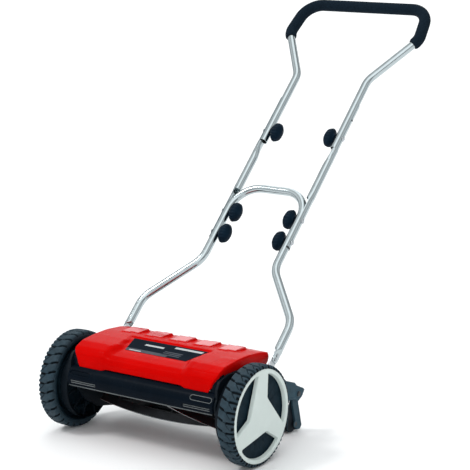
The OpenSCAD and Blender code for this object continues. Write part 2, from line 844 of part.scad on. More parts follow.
function oval(ax, ay, z, cut) = [for (i = [0:knob_points - 1])
    let (a = 360 * i / knob_points, g = i % 2 == 0 ? cut : 0) [(ax - g) * cos(a), (ay - g) * sin(a), z]];
function knob_ring(p) = oval(
    knob_foot_r + (knob_short / 2 - knob_foot_r) * p[0], knob_foot_r + (knob_long / 2 - knob_foot_r) * p[0],
    p[1], p[2]);
function dome_ring(p) = oval(knob_short / 2 * p[0], knob_long / 2 * p[0], p[1], p[2]);
knob_verts = concat(
    [for (p = knob_rings) each knob_ring(p)], [for (p = dome_rings) each dome_ring(p)], [[0, 0, knob_h]]);
knob_levels = len(knob_rings) + len(dome_rings);
knob_faces = concat(
    [[for (i = [0:knob_points - 1]) i]],
    [for (k = [0:knob_levels - 2], i = [0:knob_points - 1]) let (j = (i + 1) % knob_points, r = k * knob_points)
        each [[r + i, r + knob_points + i, r + j], [r + j, r + knob_points + i, r + knob_points + j]]],
    [for (i = [0:knob_points - 1]) let (r = (knob_levels - 1) * knob_points)
        [r + i, knob_levels * knob_points, r + (i + 1) % knob_points]]);

module knob(s, v) {
    color(BLACK) placed() handle_frame() on_side(s) translate([knob_base_x, v, 0]) rotate([0, -90, 0]) difference() {
        polyhedron(knob_verts, knob_faces);
        translate([0, 0, -1]) cylinder(h = knob_bore_depth + 1, r = bolt_r + run_gap, $fn = 32);
    }
}

side_plate(LEFT);  // side_plate_left
side_plate(RIGHT);  // side_plate_right
front_housing();
top_cover();
cover_label();
cover_screws();
housing_screws();
tie_bar();
bed_bar();
bed_knife();
bed_knife_screws();
axle(LEFT);  // axle_left
axle(RIGHT);  // axle_right
wheel_nut(LEFT);  // wheel_nut_left
wheel_nut(RIGHT);  // wheel_nut_right
reel_bearing(LEFT);  // reel_bearing_left
reel_bearing(RIGHT);  // reel_bearing_right
height_bracket(LEFT);  // height_bracket_left
height_bracket(RIGHT);  // height_bracket_right
bracket_screws();
arm_pivot_bolts();
handle_pivot_bolts();
tyre(LEFT);  // tyre_left
tyre(RIGHT);  // tyre_right
wheel_hub(LEFT);  // wheel_hub_left
wheel_hub(RIGHT);  // wheel_hub_right
wheel_cap(LEFT);  // wheel_cap_left
wheel_cap(RIGHT);  // wheel_cap_right
reel_shaft();
reel_spider(-spider_spacing);  // reel_spider_left
reel_spider(0);  // reel_spider_middle
reel_spider(spider_spacing);  // reel_spider_right
reel_blade(0);  // reel_blade_1
reel_blade(1);  // reel_blade_2
reel_blade(2);  // reel_blade_3
reel_blade(3);  // reel_blade_4
reel_blade(4);  // reel_blade_5
pinion(LEFT);  // pinion_left
pinion(RIGHT);  // pinion_right
pawl(LEFT);  // pawl_left
pawl(RIGHT);  // pawl_right
roller();
roller_axle();
roller_arm(LEFT);  // roller_arm_left
roller_arm(RIGHT);  // roller_arm_right
lower_handle_tube();
handle_strap(LEFT);  // handle_strap_left
handle_strap(RIGHT);  // handle_strap_right
strap_screws();
handle_strut(LEFT);  // handle_strut_left
handle_strut(RIGHT);  // handle_strut_right
upper_handle_tube();
foam_grip();
handle_bolts();
knob(LEFT, bolt_vs[2]);  // knob_upper_left
knob(RIGHT, bolt_vs[2]);  // knob_upper_right
knob(LEFT, bolt_vs[1]);  // knob_middle_left
knob(RIGHT, bolt_vs[1]);  // knob_middle_right
knob(LEFT, bolt_vs[0]);  // knob_lower_left
knob(RIGHT, bolt_vs[0]);  // knob_lower_right
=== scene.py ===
# Looks of a hand-pushed reel mower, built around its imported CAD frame.
# Lengths below are millimetres about the wheel axle: x sideways, y backwards, z up.
import math

import bpy
import bmesh
from mathutils import Matrix, Vector
from mathutils.geometry import tessellate_polygon


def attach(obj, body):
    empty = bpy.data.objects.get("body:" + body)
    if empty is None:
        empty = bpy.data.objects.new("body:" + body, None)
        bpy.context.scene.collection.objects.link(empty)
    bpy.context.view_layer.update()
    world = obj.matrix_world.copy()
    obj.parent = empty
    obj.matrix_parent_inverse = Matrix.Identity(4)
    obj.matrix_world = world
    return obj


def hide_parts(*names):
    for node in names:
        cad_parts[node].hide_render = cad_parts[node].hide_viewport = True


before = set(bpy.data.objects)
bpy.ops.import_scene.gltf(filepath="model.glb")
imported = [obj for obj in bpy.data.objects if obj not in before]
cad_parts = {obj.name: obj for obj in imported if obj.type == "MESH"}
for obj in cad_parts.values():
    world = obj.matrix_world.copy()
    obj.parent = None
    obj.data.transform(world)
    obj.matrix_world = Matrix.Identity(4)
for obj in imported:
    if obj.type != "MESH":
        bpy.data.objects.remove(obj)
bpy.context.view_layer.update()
scene = bpy.context.scene

MM = 0.001
SIDES = {"left": -1, "right": 1}
WHEEL_R = 125.0
SLOPE = math.radians(43.9)
HANDLE_Y = 51.3
TOP_V = 1293.2
GRIP_R = 16.3
MID_Y = (HANDLE_Y + TOP_V * math.cos(SLOPE) + GRIP_R - WHEEL_R) / 2
REEL_Y, REEL_Z = 59.464, -8.0
REEL_LENGTH = 386
BAR_Y, BAR_Z, BAR_R = -62.0, 30.0, 36.0
COVER_HALF = 220.4
PIVOT_Y, PIVOT_Z = 105.34, 52.0
ARM_Y, ARM_Z = 260, -20.5
ROLLER_Y, ROLLER_Z = 263, -103
TIP = 0.01


def sin(deg):
    return math.sin(math.radians(deg))


def cos(deg):
    return math.cos(math.radians(deg))


def smooth(v):
    v = max(0.0, min(1.0, v))
    return v * v * (3 - 2 * v)


def lerp(a, b, t):
    return a + (b - a) * t


def handle(x, v, w=0.0):
    """A point of the handle plane: v runs up the slope, w square to it."""
    return (x, HANDLE_Y + v * math.cos(SLOPE) - w * math.sin(SLOPE),
            v * math.sin(SLOPE) + w * math.cos(SLOPE))


def fillet(points, radii, step=5.0):
    """Rounds the corners of an open 2-D polyline with arcs."""
    out = [Vector(points[0])]
    for i in range(1, len(points) - 1):
        p, q, n = Vector(points[i]), Vector(points[i - 1]), Vector(points[i + 1])
        a, b = (p - q).normalized(), (n - p).normalized()
        turn = math.atan2(a.x * b.y - a.y * b.x, a.dot(b))
        r = radii[i]
        if r <= 0 or abs(turn) < 1e-4:
            out.append(p)
            continue
        trim = r * math.tan(abs(turn) / 2)
        side = 1 if turn > 0 else -1
        centre = p - a * trim + Vector((-a.y, a.x)) * side * r
        start = p - a * trim - centre
        count = max(2, math.ceil(abs(math.degrees(turn)) / step))
        for k in range(count + 1):
            ang = turn * k / count
            c, s = math.cos(ang), math.sin(ang)
            out.append(centre + Vector((start.x * c - start.y * s, start.x * s + start.y * c)))
    out.append(Vector(points[-1]))
    return out


def resample(points, step):
    """Splits the long legs of a polyline so that no leg exceeds step."""
    out = [points[0]]
    for a, b in zip(points, points[1:]):
        n = max(1, math.ceil((b - a).length / step))
        out += [a.lerp(b, k / n) for k in range(1, n + 1)]
    return out


def rounded(points, radii, step):
    """A closed outline with rounded corners, as (y, z) pairs; its last point repeats its first."""
    return [(p.x, p.y) for p in fillet(points, radii, step)[:-1]]


def rib(start, end, half):
    """The four corners of a straight rib of half width half."""
    p, q = Vector(start), Vector(end)
    d = (q - p).normalized() * half
    return [(p.x - d.y, p.y + d.x), (p.x + d.y, p.y - d.x), (q.x + d.y, q.y - d.x), (q.x - d.y, q.y + d.x)]


class Build:
    """Gathers mesh pieces in millimetres and turns them into one object."""

    def __init__(self):
        self.verts = []
        self.faces = []
        self.mats = []

    def add(self, verts, faces, mat=0):
        base = len(self.verts)
        self.verts += [tuple(v) for v in verts]
        self.faces += [[i + base for i in f] for f in faces]
        self.mats += [mat] * len(faces)

    def grid(self, rows, loop_row=False, loop_col=False, mat=0):
        n, m = len(rows), len(rows[0])
        faces = []
        for i in range(n if loop_row else n - 1):
            for j in range(m if loop_col else m - 1):
                i2, j2 = (i + 1) % n, (j + 1) % m
                faces.append([i * m + j, i * m + j2, i2 * m + j2, i2 * m + j])
        self.add([p for row in rows for p in row], faces, mat)

    def block(self, low, high, mat=0):
        """Two outlines of the same count joined into a closed solid."""
        n = len(low)
        faces = [list(range(n))[::-1], list(range(n, 2 * n))]
        faces += [[i, (i + 1) % n, n + (i + 1) % n, n + i] for i in range(n)]
        self.add(low + high, faces, mat)

    def prism(self, outline, x0, x1, mat=0):
        """An outline of (y, z) points run along x."""
        self.block([(x0, y, z) for y, z in outline], [(x1, y, z) for y, z in outline], mat)

    def loft(self, rings):
        """Closed rings joined in order, with flat ends."""
        n = len(rings[0])
        self.grid(rings, loop_col=True)
        self.add(rings[0], [list(range(n))])
        self.add(rings[-1], [list(range(n))[::-1]])

    def revolve(self, profile, y=0.0, z=0.0, n=48, frame_at=None, mat=0, closed=False):
        """A profile of (radius, along) points about x through (y, z), or about x of a given frame."""
        at = frame_at or (lambda a, c, s: (a, y + c, z + s))
        turns = [360 * k / n for k in range(n)]
        rings = [[at(a, cos(t) * r, sin(t) * r) for t in turns] for r, a in profile]
        self.grid(rings, loop_row=closed, loop_col=True, mat=mat)

    def rod(self, x0, x1, r, y=0.0, z=0.0, n=32, c=0.6, mat=0):
        self.revolve([(TIP, x0), (r - c, x0), (r, x0 + c), (r, x1 - c), (r - c, x1), (TIP, x1)],
                     y, z, n, mat=mat)

    def done(self, name, body, mats, node, side=1, bevel=0.0, angle=30, solid=0.0, weighted=False,
             merge=0.002):
        """Makes the object, rounds its edges sharper than angle and hides the CAD node it replaces."""
        mesh = bpy.data.meshes.new(name)
        verts = [(x * side * MM, (y - MID_Y) * MM, (z + WHEEL_R) * MM) for x, y, z in self.verts]
        mesh.from_pydata(verts, [], self.faces)
        mats = mats if isinstance(mats, (list, tuple)) else [mats]
        for m in mats:
            mesh.materials.append(m)
        mesh.polygons.foreach_set("material_index", self.mats)
        bm = bmesh.new()
        bm.from_mesh(mesh)
        bmesh.ops.remove_doubles(bm, verts=bm.verts, dist=merge * MM)
        bmesh.ops.recalc_face_normals(bm, faces=bm.faces)
        if bevel:
            edges = [e for e in bm.edges if len(e.link_faces) == 2
                     and e.calc_face_angle(0) > math.radians(angle)]
            bmesh.ops.bevel(bm, geom=edges, offset=bevel * MM, segments=2, profile=0.6,
                            affect="EDGES", clamp_overlap=True)
        bm.to_mesh(mesh)
        bm.free()
        mesh.shade_smooth()
        mesh.set_sharp_from_angle(angle=math.radians(angle))
        obj = bpy.data.objects.new(name, mesh)
        scene.collection.objects.link(obj)
        if solid:
            mod = obj.modifiers.new("wall", "SOLIDIFY")
            mod.thickness = solid * MM
            mod.offset = -1
            mod.use_even_offset = False
        if weighted or bevel:
            mod = obj.modifiers.new("normals", "WEIGHTED_NORMAL")
            mod.keep_sharp = True
            mod.weight = 80
        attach(obj, body)
        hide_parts(node)
        return obj


# ---- Materials ----

def material(name, color, rough, mottle, grain, metallic=0.0, rough_var=0.05, wear=0.0, spec=0.5, dust=0.0,
             tint=None):
    """A material in object space: mottled tone, uneven roughness, surface grain and rubbed edges."""
    mat = bpy.data.materials.new(name)
    mat.use_nodes = True
    nodes, links = mat.node_tree.nodes, mat.node_tree.links
    shader = nodes["Principled BSDF"]
    shader.inputs["Metallic"].default_value = metallic
    shader.inputs["Specular IOR Level"].default_value = spec
    if tint:
        shader.inputs["Specular Tint"].default_value = (*tint, 1.0)
    coord = nodes.new("ShaderNodeTexCoord").outputs["Object"]

    def noise(scale, detail):
        n = nodes.new("ShaderNodeTexNoise")
        n.inputs["Scale"].default_value = scale
        n.inputs["Detail"].default_value = detail
        links.new(coord, n.inputs["Vector"])
        return n.outputs["Fac"]

    def ramp(fac, low, high, a=0.3, b=0.7):
        m = nodes.new("ShaderNodeMapRange")
        for key, val in (("From Min", a), ("From Max", b), ("To Min", low), ("To Max", high)):
            m.inputs[key].default_value = val
        links.new(fac, m.inputs["Value"])
        return m.outputs["Result"]

    def mix(fac, a, b):
        m = nodes.new("ShaderNodeMix")
        m.data_type = "RGBA"
        links.new(fac, m.inputs[0])
        for sock, val in ((m.inputs[6], a), (m.inputs[7], b)):
            if isinstance(val, tuple):
                sock.default_value = (*val, 1.0)
            else:
                links.new(val, sock)
        return m.outputs[2]

    lo = tuple(max(0.0, c * (1 - mottle[1])) for c in color)
    hi = tuple(min(1.0, c * (1 + mottle[1]) + 0.002 * mottle[1]) for c in color)
    tone = mix(ramp(noise(mottle[0], 4.0), 0.0, 1.0), lo, hi)
    if dust:
        pale = tuple(c * 0.35 + 0.16 for c in color)
        tone = mix(ramp(noise(28.0, 6.0), 0.0, dust, 0.45, 0.75), tone, pale)
    if wear:
        point = nodes.new("ShaderNodeNewGeometry").outputs["Pointiness"]
        pale = tuple(min(1.0, c * 1.5 + 0.05) for c in color)
        tone = mix(ramp(point, 0.0, wear, 0.52, 0.62), tone, pale)
    links.new(tone, shader.inputs["Base Color"])
    links.new(ramp(noise(mottle[0] * 3, 3.0), rough - rough_var, rough + rough_var),
              shader.inputs["Roughness"])
    bump = nodes.new("ShaderNodeBump")
    bump.inputs["Strength"].default_value = grain[1]
    bump.inputs["Distance"].default_value = 0.0006
    links.new(noise(grain[0], 2.0), bump.inputs["Height"])
    links.new(bump.outputs["Normal"], shader.inputs["Normal"])
    return mat


RED = material("red_plastic", (0.53, 0.0012, 0.0006), 0.24, (14.0, 0.06), (1400.0, 0.015),
               spec=0.03, tint=(1.0, 0.3, 0.32))
RED_PAD = material("red_polished", (0.56, 0.0025, 0.003), 0.14, (14.0, 0.05), (1400.0, 0.01),
                   spec=1.0, tint=(1.0, 0.88, 0.94))
HOUSING = material("housing_plastic", (0.0022, 0.005, 0.0092), 0.24, (25.0, 0.15), (1600.0, 0.03),
                   spec=0.03)
# pale grey used only for painted highlight lines: the slot rims and ridges of the front bar and the bead
# along its lower edge
EDGE_HIGHLIGHT = material("painted_edge_highlight", (0.085, 0.096, 0.10), 0.42, (30.0, 0.25), (1500.0, 0.06), spec=0.3)
# near-black frame plastic of the side plates and knife bar; on the roller link's back plate the same colour
# is painted shade
FRAME_PLASTIC_AND_SHADE = material("frame_plastic_and_shade", (0.004, 0.0075, 0.0115), 0.5, (30.0, 0.2), (1300.0, 0.10), spec=0.1)
BRACKET = material("bracket_plastic", (0.026, 0.06, 0.083), 0.5, (40.0, 0.18), (1300.0, 0.10),
                   wear=0.12, spec=0.1)
# near-black for faces deep in the tread: painted shade in the grooves
GROOVE_SHADE = material("tread_groove_shade", (0.0035, 0.006, 0.0085), 0.75, (90.0, 0.2), (1500.0, 0.1), spec=0.08)
RUBBER = material("tyre_rubber", (0.018, 0.037, 0.051), 0.66, (90.0, 0.2), (1500.0, 0.18), dust=0.05,
                  wear=0.22, spec=0.17)
CAP = material("cap_plastic", (0.60, 0.675, 0.645), 0.42, (18.0, 0.03), (1500.0, 0.05))
HUB = material("hub_plastic", (0.0065, 0.0175, 0.0265), 0.55, (60.0, 0.22), (1200.0, 0.12), spec=0.06)
TUBE = material("silver_tube", (0.46, 0.515, 0.53), 0.16, (35.0, 0.04), (1400.0, 0.012), metallic=1.0,
                rough_var=0.04)
# near-black for the bores seen at tube ends and mouths: painted shade inside the tubes
BORE_SHADE = material("painted_bore_shade", (0.05, 0.056, 0.06), 0.6, (60.0, 0.2), (1400.0, 0.05), metallic=0.5,
                 spec=0.2)
ZINC = material("zinc_steel", (0.46, 0.49, 0.51), 0.34, (70.0, 0.1), (1600.0, 0.06), metallic=1.0)
BLACK_STEEL = material("blackened_steel", (0.045, 0.05, 0.055), 0.42, (90.0, 0.2), (1600.0, 0.08),
                       metallic=0.9)
BLADE = material("blade_steel", (0.014, 0.016, 0.019), 0.42, (45.0, 0.35), (1300.0, 0.12), metallic=0.6)
GROUND = material("ground_edge", (0.30, 0.32, 0.33), 0.26, (200.0, 0.06), (1800.0, 0.06), metallic=1.0)
KNOB = material("knob_plastic", (0.0022, 0.0105, 0.0215), 0.48, (60.0, 0.22), (1100.0, 0.2), spec=0.05)
FOAM = material("foam", (0.0045, 0.0115, 0.02), 0.88, (350.0, 0.35), (1500.0, 0.7), rough_var=0.06,
                spec=0.08)
ROLLER = material("roller_plastic", (0.005, 0.009, 0.0125), 0.5, (45.0, 0.3), (1200.0, 0.12),
                  dust=0.03, spec=0.12)
FILM = material("label_film", (0.011, 0.0155, 0.0225), 0.3, (30.0, 0.1), (1500.0, 0.02), spec=0.0)
FILM_GREY = material("label_grey", (0.06, 0.07, 0.085), 0.32, (30.0, 0.1), (1500.0, 0.02), spec=0.02)
FILM_PALE = material("label_pale", (0.42, 0.44, 0.45), 0.34, (30.0, 0.05), (1500.0, 0.02), spec=0.1)
FLOOR = material("floor", (0.92, 0.92, 0.92), 0.9, (0.8, 0.004), (60.0, 0.01), spec=0.1)


# ---- Wheels ----

LUGS = 31
LUG_PHASE = 92.9
TYRE_IN = 251.2


def band(v, half, soft):
    """1 inside |v| < half, falling to 0 over soft."""
    return 1 - smooth((abs(v) - half) / soft)


def tread_depth(theta, x):
    """How deep the tread is cut at an angle and a distance from the middle of the mower."""
    pitch = 360 / LUGS
    f = ((theta - LUG_PHASE) / pitch) % 1.0
    arc = WHEEL_R * math.radians(pitch)
    depth = 0.0
    for k in (-1, 0, 1):
        g = f + k
        outer = band(g * arc, 2.3, 0.9) * smooth((x - 276.5) / 1.5)
        bend = (x - 277) / 15.0
        sipe = band((g - 0.08 - 0.62 * bend) * arc, 0.5, 0.8) * smooth(bend * 8) * smooth((1 - bend) * 6)
        slant = (x - 250) / 20.0
        inner = band((g - 0.52 - 0.34 * slant) * arc, 2.2, 0.9) * smooth((1 - slant) * 10)
        link = (x - 268) / 10.0
        cross = band((g - 0.84 - 0.18 * link) * arc, 0.5, 0.8)
        cross = cross * smooth(link * 8 + 1) * smooth((1 - link) * 8 + 1)
        notch = band((g - 0.5) * arc, 2.8, 1.3) * smooth((x - 292) / 2.0)
        depth = max(depth, 5.0 * outer, 2.6 * sipe, 4.8 * inner, 2.2 * cross * (0 < link + 0.1 < 1.2),
                    3.4 * notch)
    return depth


def tyre(name, side):
    outline = fillet([(289, 108.1), (289, 115.9), (298.2, 115.9), (297.6, 121.2), (293.5, 124.2), (280, 125),
                      (269, 125), (257.5, 124.2), (252.8, 121.0), (TYRE_IN, 114), (253.4, 108.1)],
                     [0, 0.5, 1.2, 2.5, 4, 0, 0, 4, 3, 4, 0], 12)
    outline = resample(outline, 1.3)
    count = LUGS * 20
    b = Build()
    rings = []
    for i in range(count):
        th = 360 * i / count
        c, s = cos(th), sin(th)
        ring = []
        for x, r in outline:
            d = tread_depth(th, x) * smooth((r - 116.5) / 3.0) if r > 116.5 else 0.0
            ring.append((x, (r - d) * c, (r - d) * s))
        rings.append(ring)
    b.grid(rings, loop_row=True)
    cols = len(outline)
    # faces cut deeper than 1.6 mm take the groove material: painted shade in the grooves
    for i in range(count):
        th = 360 * (i + 0.5) / count
        for j in range(cols - 1):
            x, r = (outline[j] + outline[j + 1]) / 2
            if r > 117.5 and tread_depth(th, x) > 1.6:
                b.mats[i * (cols - 1) + j] = 1
    b.grid([[ring[0] for ring in rings], [ring[-1] for ring in rings]], loop_col=True)
    b.done(name + "_tread", "wheel_" + name, [RUBBER, GROOVE_SHADE], "tyre_" + name, side, angle=38)


def window_loop(spoke, off, n_arc=40):
    """The rim of one cap window, grown outwards by off, as (y, z) points."""
    r_out = 103.0

    def polar(r, a):
        return Vector((r * cos(a), r * sin(a)))
    vertex = polar(50.0, spoke - 28)
    first = polar(r_out, spoke - 12)
    last = polar(r_out, spoke - 107)
    arc = [polar(r_out, spoke - 12 - 95 * k / n_arc) for k in range(n_arc + 1)]
    pts = [vertex] + arc
    n = len(pts)
    radii = [9.0 if i == 0 else (3.0 if i in (1, n - 1) else 0.0) for i in range(n)]
    loop = []
    for i in range(n):
        q, p, w = pts[i - 1], pts[i], pts[(i + 1) % n]
        a, c = (p - q).normalized(), (w - p).normalized()
        if radii[i] == 0:
            loop.append((p, (a + c).normalized()))
            continue
        turn = math.atan2(a.x * c.y - a.y * c.x, a.dot(c))
        r = min(radii[i], 0.45 * min((p - q).length, (w - p).length) / max(1e-3, math.tan(abs(turn) / 2)))
        trim = r * math.tan(abs(turn) / 2)
        sgn = 1 if turn > 0 else -1
        centre = p - a * trim + Vector((-a.y, a.x)) * sgn * r
        start = p - a * trim - centre
        steps = 8
        for k in range(steps + 1):
            ang = turn * k / steps
            cs, sn = math.cos(ang), math.sin(ang)
            q2 = centre + Vector((start.x * cs - start.y * sn, start.x * sn + start.y * cs))
            tangent = Vector((a.x * cs - a.y * sn, a.x * sn + a.y * cs))
            loop.append((q2, tangent))
    # the loop runs clockwise, so its left normal points out of the window
    return [p + Vector((-t.y, t.x)) * off for p, t in loop]


def wheel_cap(name, side):
    """Light cap: a rolled rim, three flat spokes and soft-edged windows whose walls slope inwards."""
    b = Build()
    face_x, back_x = 298.6, 289.2
    rim = [(115.4, back_x), (115.4, 297.0), (115.0, 298.2), (113.8, face_x), (111.5, 298.7),
           (109.5, face_x - 0.15)]
    n = 180
    b.revolve(rim, n=n)
    wall = [(4.2, face_x - 0.15), (3.0, face_x - 0.7), (2.0, face_x - 2.2), (1.1, face_x - 5.0),
            (0.0, back_x)]
    spokes = (85, 205, 325)
    for spoke in spokes:
        b.grid([[(x, p.x, p.y) for p in window_loop(spoke, off)] for off, x in wall], loop_col=True)
    for rim_r, off, x in ((109.5, wall[0][0], face_x - 0.15), (115.4, 0.0, back_x)):
        loops = [[Vector((rim_r * cos(360 * k / n), rim_r * sin(360 * k / n))) for k in range(n)]]
        loops += [window_loop(spoke, off) for spoke in spokes]
        tris = tessellate_polygon([[Vector((p.x, p.y, 0)) for p in loop] for loop in loops])
        b.add([(x, p.x, p.y) for loop in loops for p in loop], [list(t) for t in tris])
    b.done(name + "_cap", "wheel_" + name, CAP, "wheel_cap_" + name, side, angle=50,
           weighted=True, merge=0.01)


def wheel_body(name, side):
    """Black wheel body: seat ring, ribbed web, hub sleeve and the ring gear's drum."""
    b = Build()
    b.revolve([(8.05, 252.2), (15.5, 252.2), (16, 252.8), (16, 280), (18, 281), (80, 281), (100, 281),
               (102, 279), (104, 253), (105, 252.2), (107.6, 252.2), (108, 252.8), (108, 289), (104, 289),
               (102.2, 285.2), (60, 284.5), (24, 284.5), (22, 285.6), (8.05, 285.6)], n=144, closed=True)
    for k in range(24):
        a = 15 * k + 7.5
        b.prism(rib((26 * cos(a), 26 * sin(a)), (100 * cos(a), 100 * sin(a)), 0.9), 284.4, 285.3)
    teeth = 75
    inner, outer = [], []
    for k in range(teeth * 8):
        phase = (k % 8) / 8
        r = 73.4 + 3.9 * (smooth((0.30 - abs(phase - 0.5)) / 0.14) if abs(phase - 0.5) < 0.5 else 0)
        a = 360 * k / (teeth * 8) - 7.66 + 360 / teeth / 2
        inner.append((r * cos(a), r * sin(a)))
        outer.append((84 * cos(a), 84 * sin(a)))
    rows = [[(x, p[0], p[1]) for p in ring] for x, ring in
            ((281, inner), (263.4, inner), (263, [(p[0] * 1.005, p[1] * 1.005) for p in inner]), (263, outer),
             (281, outer))]
    b.grid(rows, loop_col=True)
    b.done(name + "_wheel_body", "wheel_" + name, HUB, "wheel_hub_" + name, side)


def axle_parts(name, side):
    b = Build()
    b.rod(217, 220.95, 14, n=48)
    b.rod(220.9, 286.2, 8, n=48)
    b.rod(286.1, 292.4, 5, n=32)
    b.done(name + "_stub_axle", "chassis", ZINC, "axle_" + name, side)
    b = Build()
    b.revolve([(5.02, 286.4), (8.6, 286.4), (9.8, 287.2), (9.8, 290.6), (8.6, 291.4), (5.02, 291.4)], n=6,
              closed=True)
    b.revolve([(5.02, 285.75), (9.4, 285.75), (9.4, 286.35), (5.02, 286.35)], n=48, closed=True)
    b.done(name + "_wheel_nut", "chassis", ZINC, "wheel_nut_" + name, side)


for wheel, sign in SIDES.items():
    tyre(wheel, sign)
    wheel_cap(wheel, sign)
    wheel_body(wheel, sign)
    axle_parts(wheel, sign)


# ---- Chassis ----

PLATE_OUTLINE = rounded([(-85, 60), (-84, 74), (-74, 92), (-40, 101), (60, 101), (128, 84), (150, 50),
                         (214, 26), (214, -34), (150, -44), (142, -82), (84, -86), (20, -72), (-30, -40),
                         (-62, 0), (-86, 40), (-85, 60)],
                        [0, 10, 14, 20, 30, 20, 12, 6, 6, 8, 5, 14, 20, 14, 10, 8, 0], 15)


def side_plate(name, side):
    b = Build()
    b.prism(PLATE_OUTLINE, 221, 228)
    ring = [(94, 227.9), (94, 247.8), (93.2, 249), (90.8, 249), (90, 247.8), (90, 227.9)]
    b.revolve(ring, n=120)
    b.revolve([(31, 221), (31, 227.9), (30.4, 228.2), (TIP, 228.2)], BAR_Y, BAR_Z, 64)
    b.revolve([(31, 221), (TIP, 221)], BAR_Y, BAR_Z, 64)
    b.revolve([(8.05, 227.9), (14, 227.9), (14, 248.2), (13.2, 249), (8.05, 249)], n=48)
    b.revolve([(21, 221.2), (21, 206), (20, 205), (16.05, 205), (16.05, 207)], REEL_Y, REEL_Z, 48)
    b.revolve([(11, 227.9), (11, 231), (10.4, 231.6), (4.02, 231.6)], PIVOT_Y, PIVOT_Z, 40)
    for a in range(0, 360, 30):
        c, s = cos(a + 10), sin(a + 10)
        b.prism(rib((14 * c, 14 * s), (90.5 * c, 90.5 * s), 1.0), 227.9, 232)
    for start, end in (((150, 44), (208, 22)), ((150, -38), (208, -30)), ((152, 40), (206, -26)),
                       ((152, -34), (206, 18))):
        b.prism(rib(start, end, 1.2), 218.6, 221.1)
    b.done(name + "_side_plate", "chassis", FRAME_PLASTIC_AND_SHADE, "side_plate_" + name, side, bevel=0.7,
           angle=40)


def cover_half(z):
    """Half width of the cover: it leans out from the bottom edge to the corner at the tip."""
    return lerp(197.0, COVER_HALF, min(1.0, max(0.0, (z - 62) / 42.0)))


SLOT = (155, 217, 150, 6.0)
LOW_SLOT = (132, 215, 189, 6.0)
RIDGES = ((135, 213, 184.6, 1.3), (135, 213, 192.6, 1.3))


def front_housing():
    """The rounded black bar across the front with two pressed-in grip slots at each end."""
    xs = [-COVER_HALF]
    while xs[-1] < COVER_HALF:
        xs.append(min(COVER_HALF, xs[-1] + (1.0 if abs(xs[-1]) > 124 else 4.0)))
    start = 180 + math.degrees(math.asin((BAR_Z - 14) / BAR_R))
    angles = [start - i * (start - 106) / 96 for i in range(97)]

    def pill(x, a, x0, x1, mid, half):
        """Distance outside a long round-ended slot between x0 and x1 at the angle mid."""
        u = (a - mid) * math.pi / 180 * BAR_R
        v = abs(x)
        dx = max(x0 + half - v, v - (x1 - half), 0.0)
        return math.hypot(dx, u) - half

    def radius(x, a):
        r = BAR_R
        d = pill(x, a, *SLOT)
        r += 1.0 * band(d - 0.3, 0.7, 0.9) - 2.4 * smooth((-d - 0.4) / 1.0)
        r -= 2.4 * smooth((0.3 - pill(x, a, *LOW_SLOT)) / 1.0)
        for ridge in RIDGES:
            r += 1.7 * smooth((0.3 - pill(x, a, *ridge)) / 0.8)
        return r
    rows = []
    for a in angles:
        rows.append([(x, BAR_Y + radius(x, a) * cos(a), BAR_Z + radius(x, a) * sin(a)) for x in xs])
    lip = [[(x, -92.6 + 5.5 * k, 14 + 0.4 * k) for x in xs] for k in (2, 1)]
    b = Build()
    b.grid(lip + rows)
    # the slot rims on the right end (the end facing the light) and the ridges at both ends take the pale
    # material: painted highlight lines
    for i in range(len(rows) - 1):
        a = (angles[i] + angles[i + 1]) / 2
        for j in range(len(xs) - 1):
            x = (xs[j] + xs[j + 1]) / 2
            rim = x > 0 and abs(pill(x, a, *SLOT) - 0.2) < 1.0
            if rim or any(pill(x, a, *ridge) < 0.2 for ridge in RIDGES):
                b.mats[(i + len(lip)) * (len(xs) - 1) + j] = 1
    # a thin bead along the lower edge in the pale material: a painted highlight line on that edge
    b.rod(-220.2, 220.2, 1.5, -94.6, 14.4, 16, mat=1)
    for side in (-1, 1):
        for shoulder in (((-75, 50), (-75, 62), (-46, 62), (-46, 50)),
                         ((-75, 62), (-75, 82), (-71, 94), (-60, 101), (-46, 103), (-46, 62))):
            b.block([(side * (cover_half(z) + 0.6), y, z) for y, z in shoulder],
                    [(side * 220.6, y, z) for y, z in shoulder])
        arc = [(side * COVER_HALF, BAR_Y + BAR_R * cos(a), BAR_Z + BAR_R * sin(a)) for a in angles[::4]]
        b.add(arc, [list(range(len(arc)))])
    b.done("front_cover_bar", "chassis", [HOUSING, EDGE_HIGHLIGHT], "front_housing", solid=3.2,
           angle=60)


for wheel, sign in SIDES.items():
    side_plate(wheel, sign)
front_housing()


def cover_section(x):
    """The cover's outer profile at x, between the raised ends and the lower middle with its sloped panel."""
    ax = abs(x)
    stations = [
        # end profile, middle profile, where the middle starts to rise, where the end level is reached
        ((-80, 61.5), (-79, 66), 124, 146),
        ((-78.5, 80), (-78, 80), 118, 142),
        ((-76, 95), (-74.5, 92), 112, 137),
        ((-67, 108), (-63, 100.5), 106, 132),
        ((-42, 118.5), (-40, 106.8), 101, 125),
        ((-28, 120.5), (-28, 109), 97, 117),
        ((8, 124), (8, 114.8), 107.5, 123),
        ((42, 125), (42, 120.3), 117.5, 130),
        ((50, 125), (46, 124.2), 120, 132),
        ((60, 125), (60, 125), 126, 132),
        ((112, 120.5), (112, 120.5), 126, 132),
        ((145, 113), (145, 113), 126, 132),
        ((152, 100), (152, 100), 126, 132),
        ((152.5, 66), (152.5, 66), 126, 132)]
    pts = []
    for end, mid, a, c in stations:
        t = smooth((ax - a) / (c - a))
        pts.append((lerp(mid[0], end[0], t), lerp(mid[1], end[1], t)))
    return pts


END_ROUND = 4.0
COVER_RADII = [0, 10, 10, 14, 14, 12, 0, 3, 3, 40, 30, 4, 5, 0]


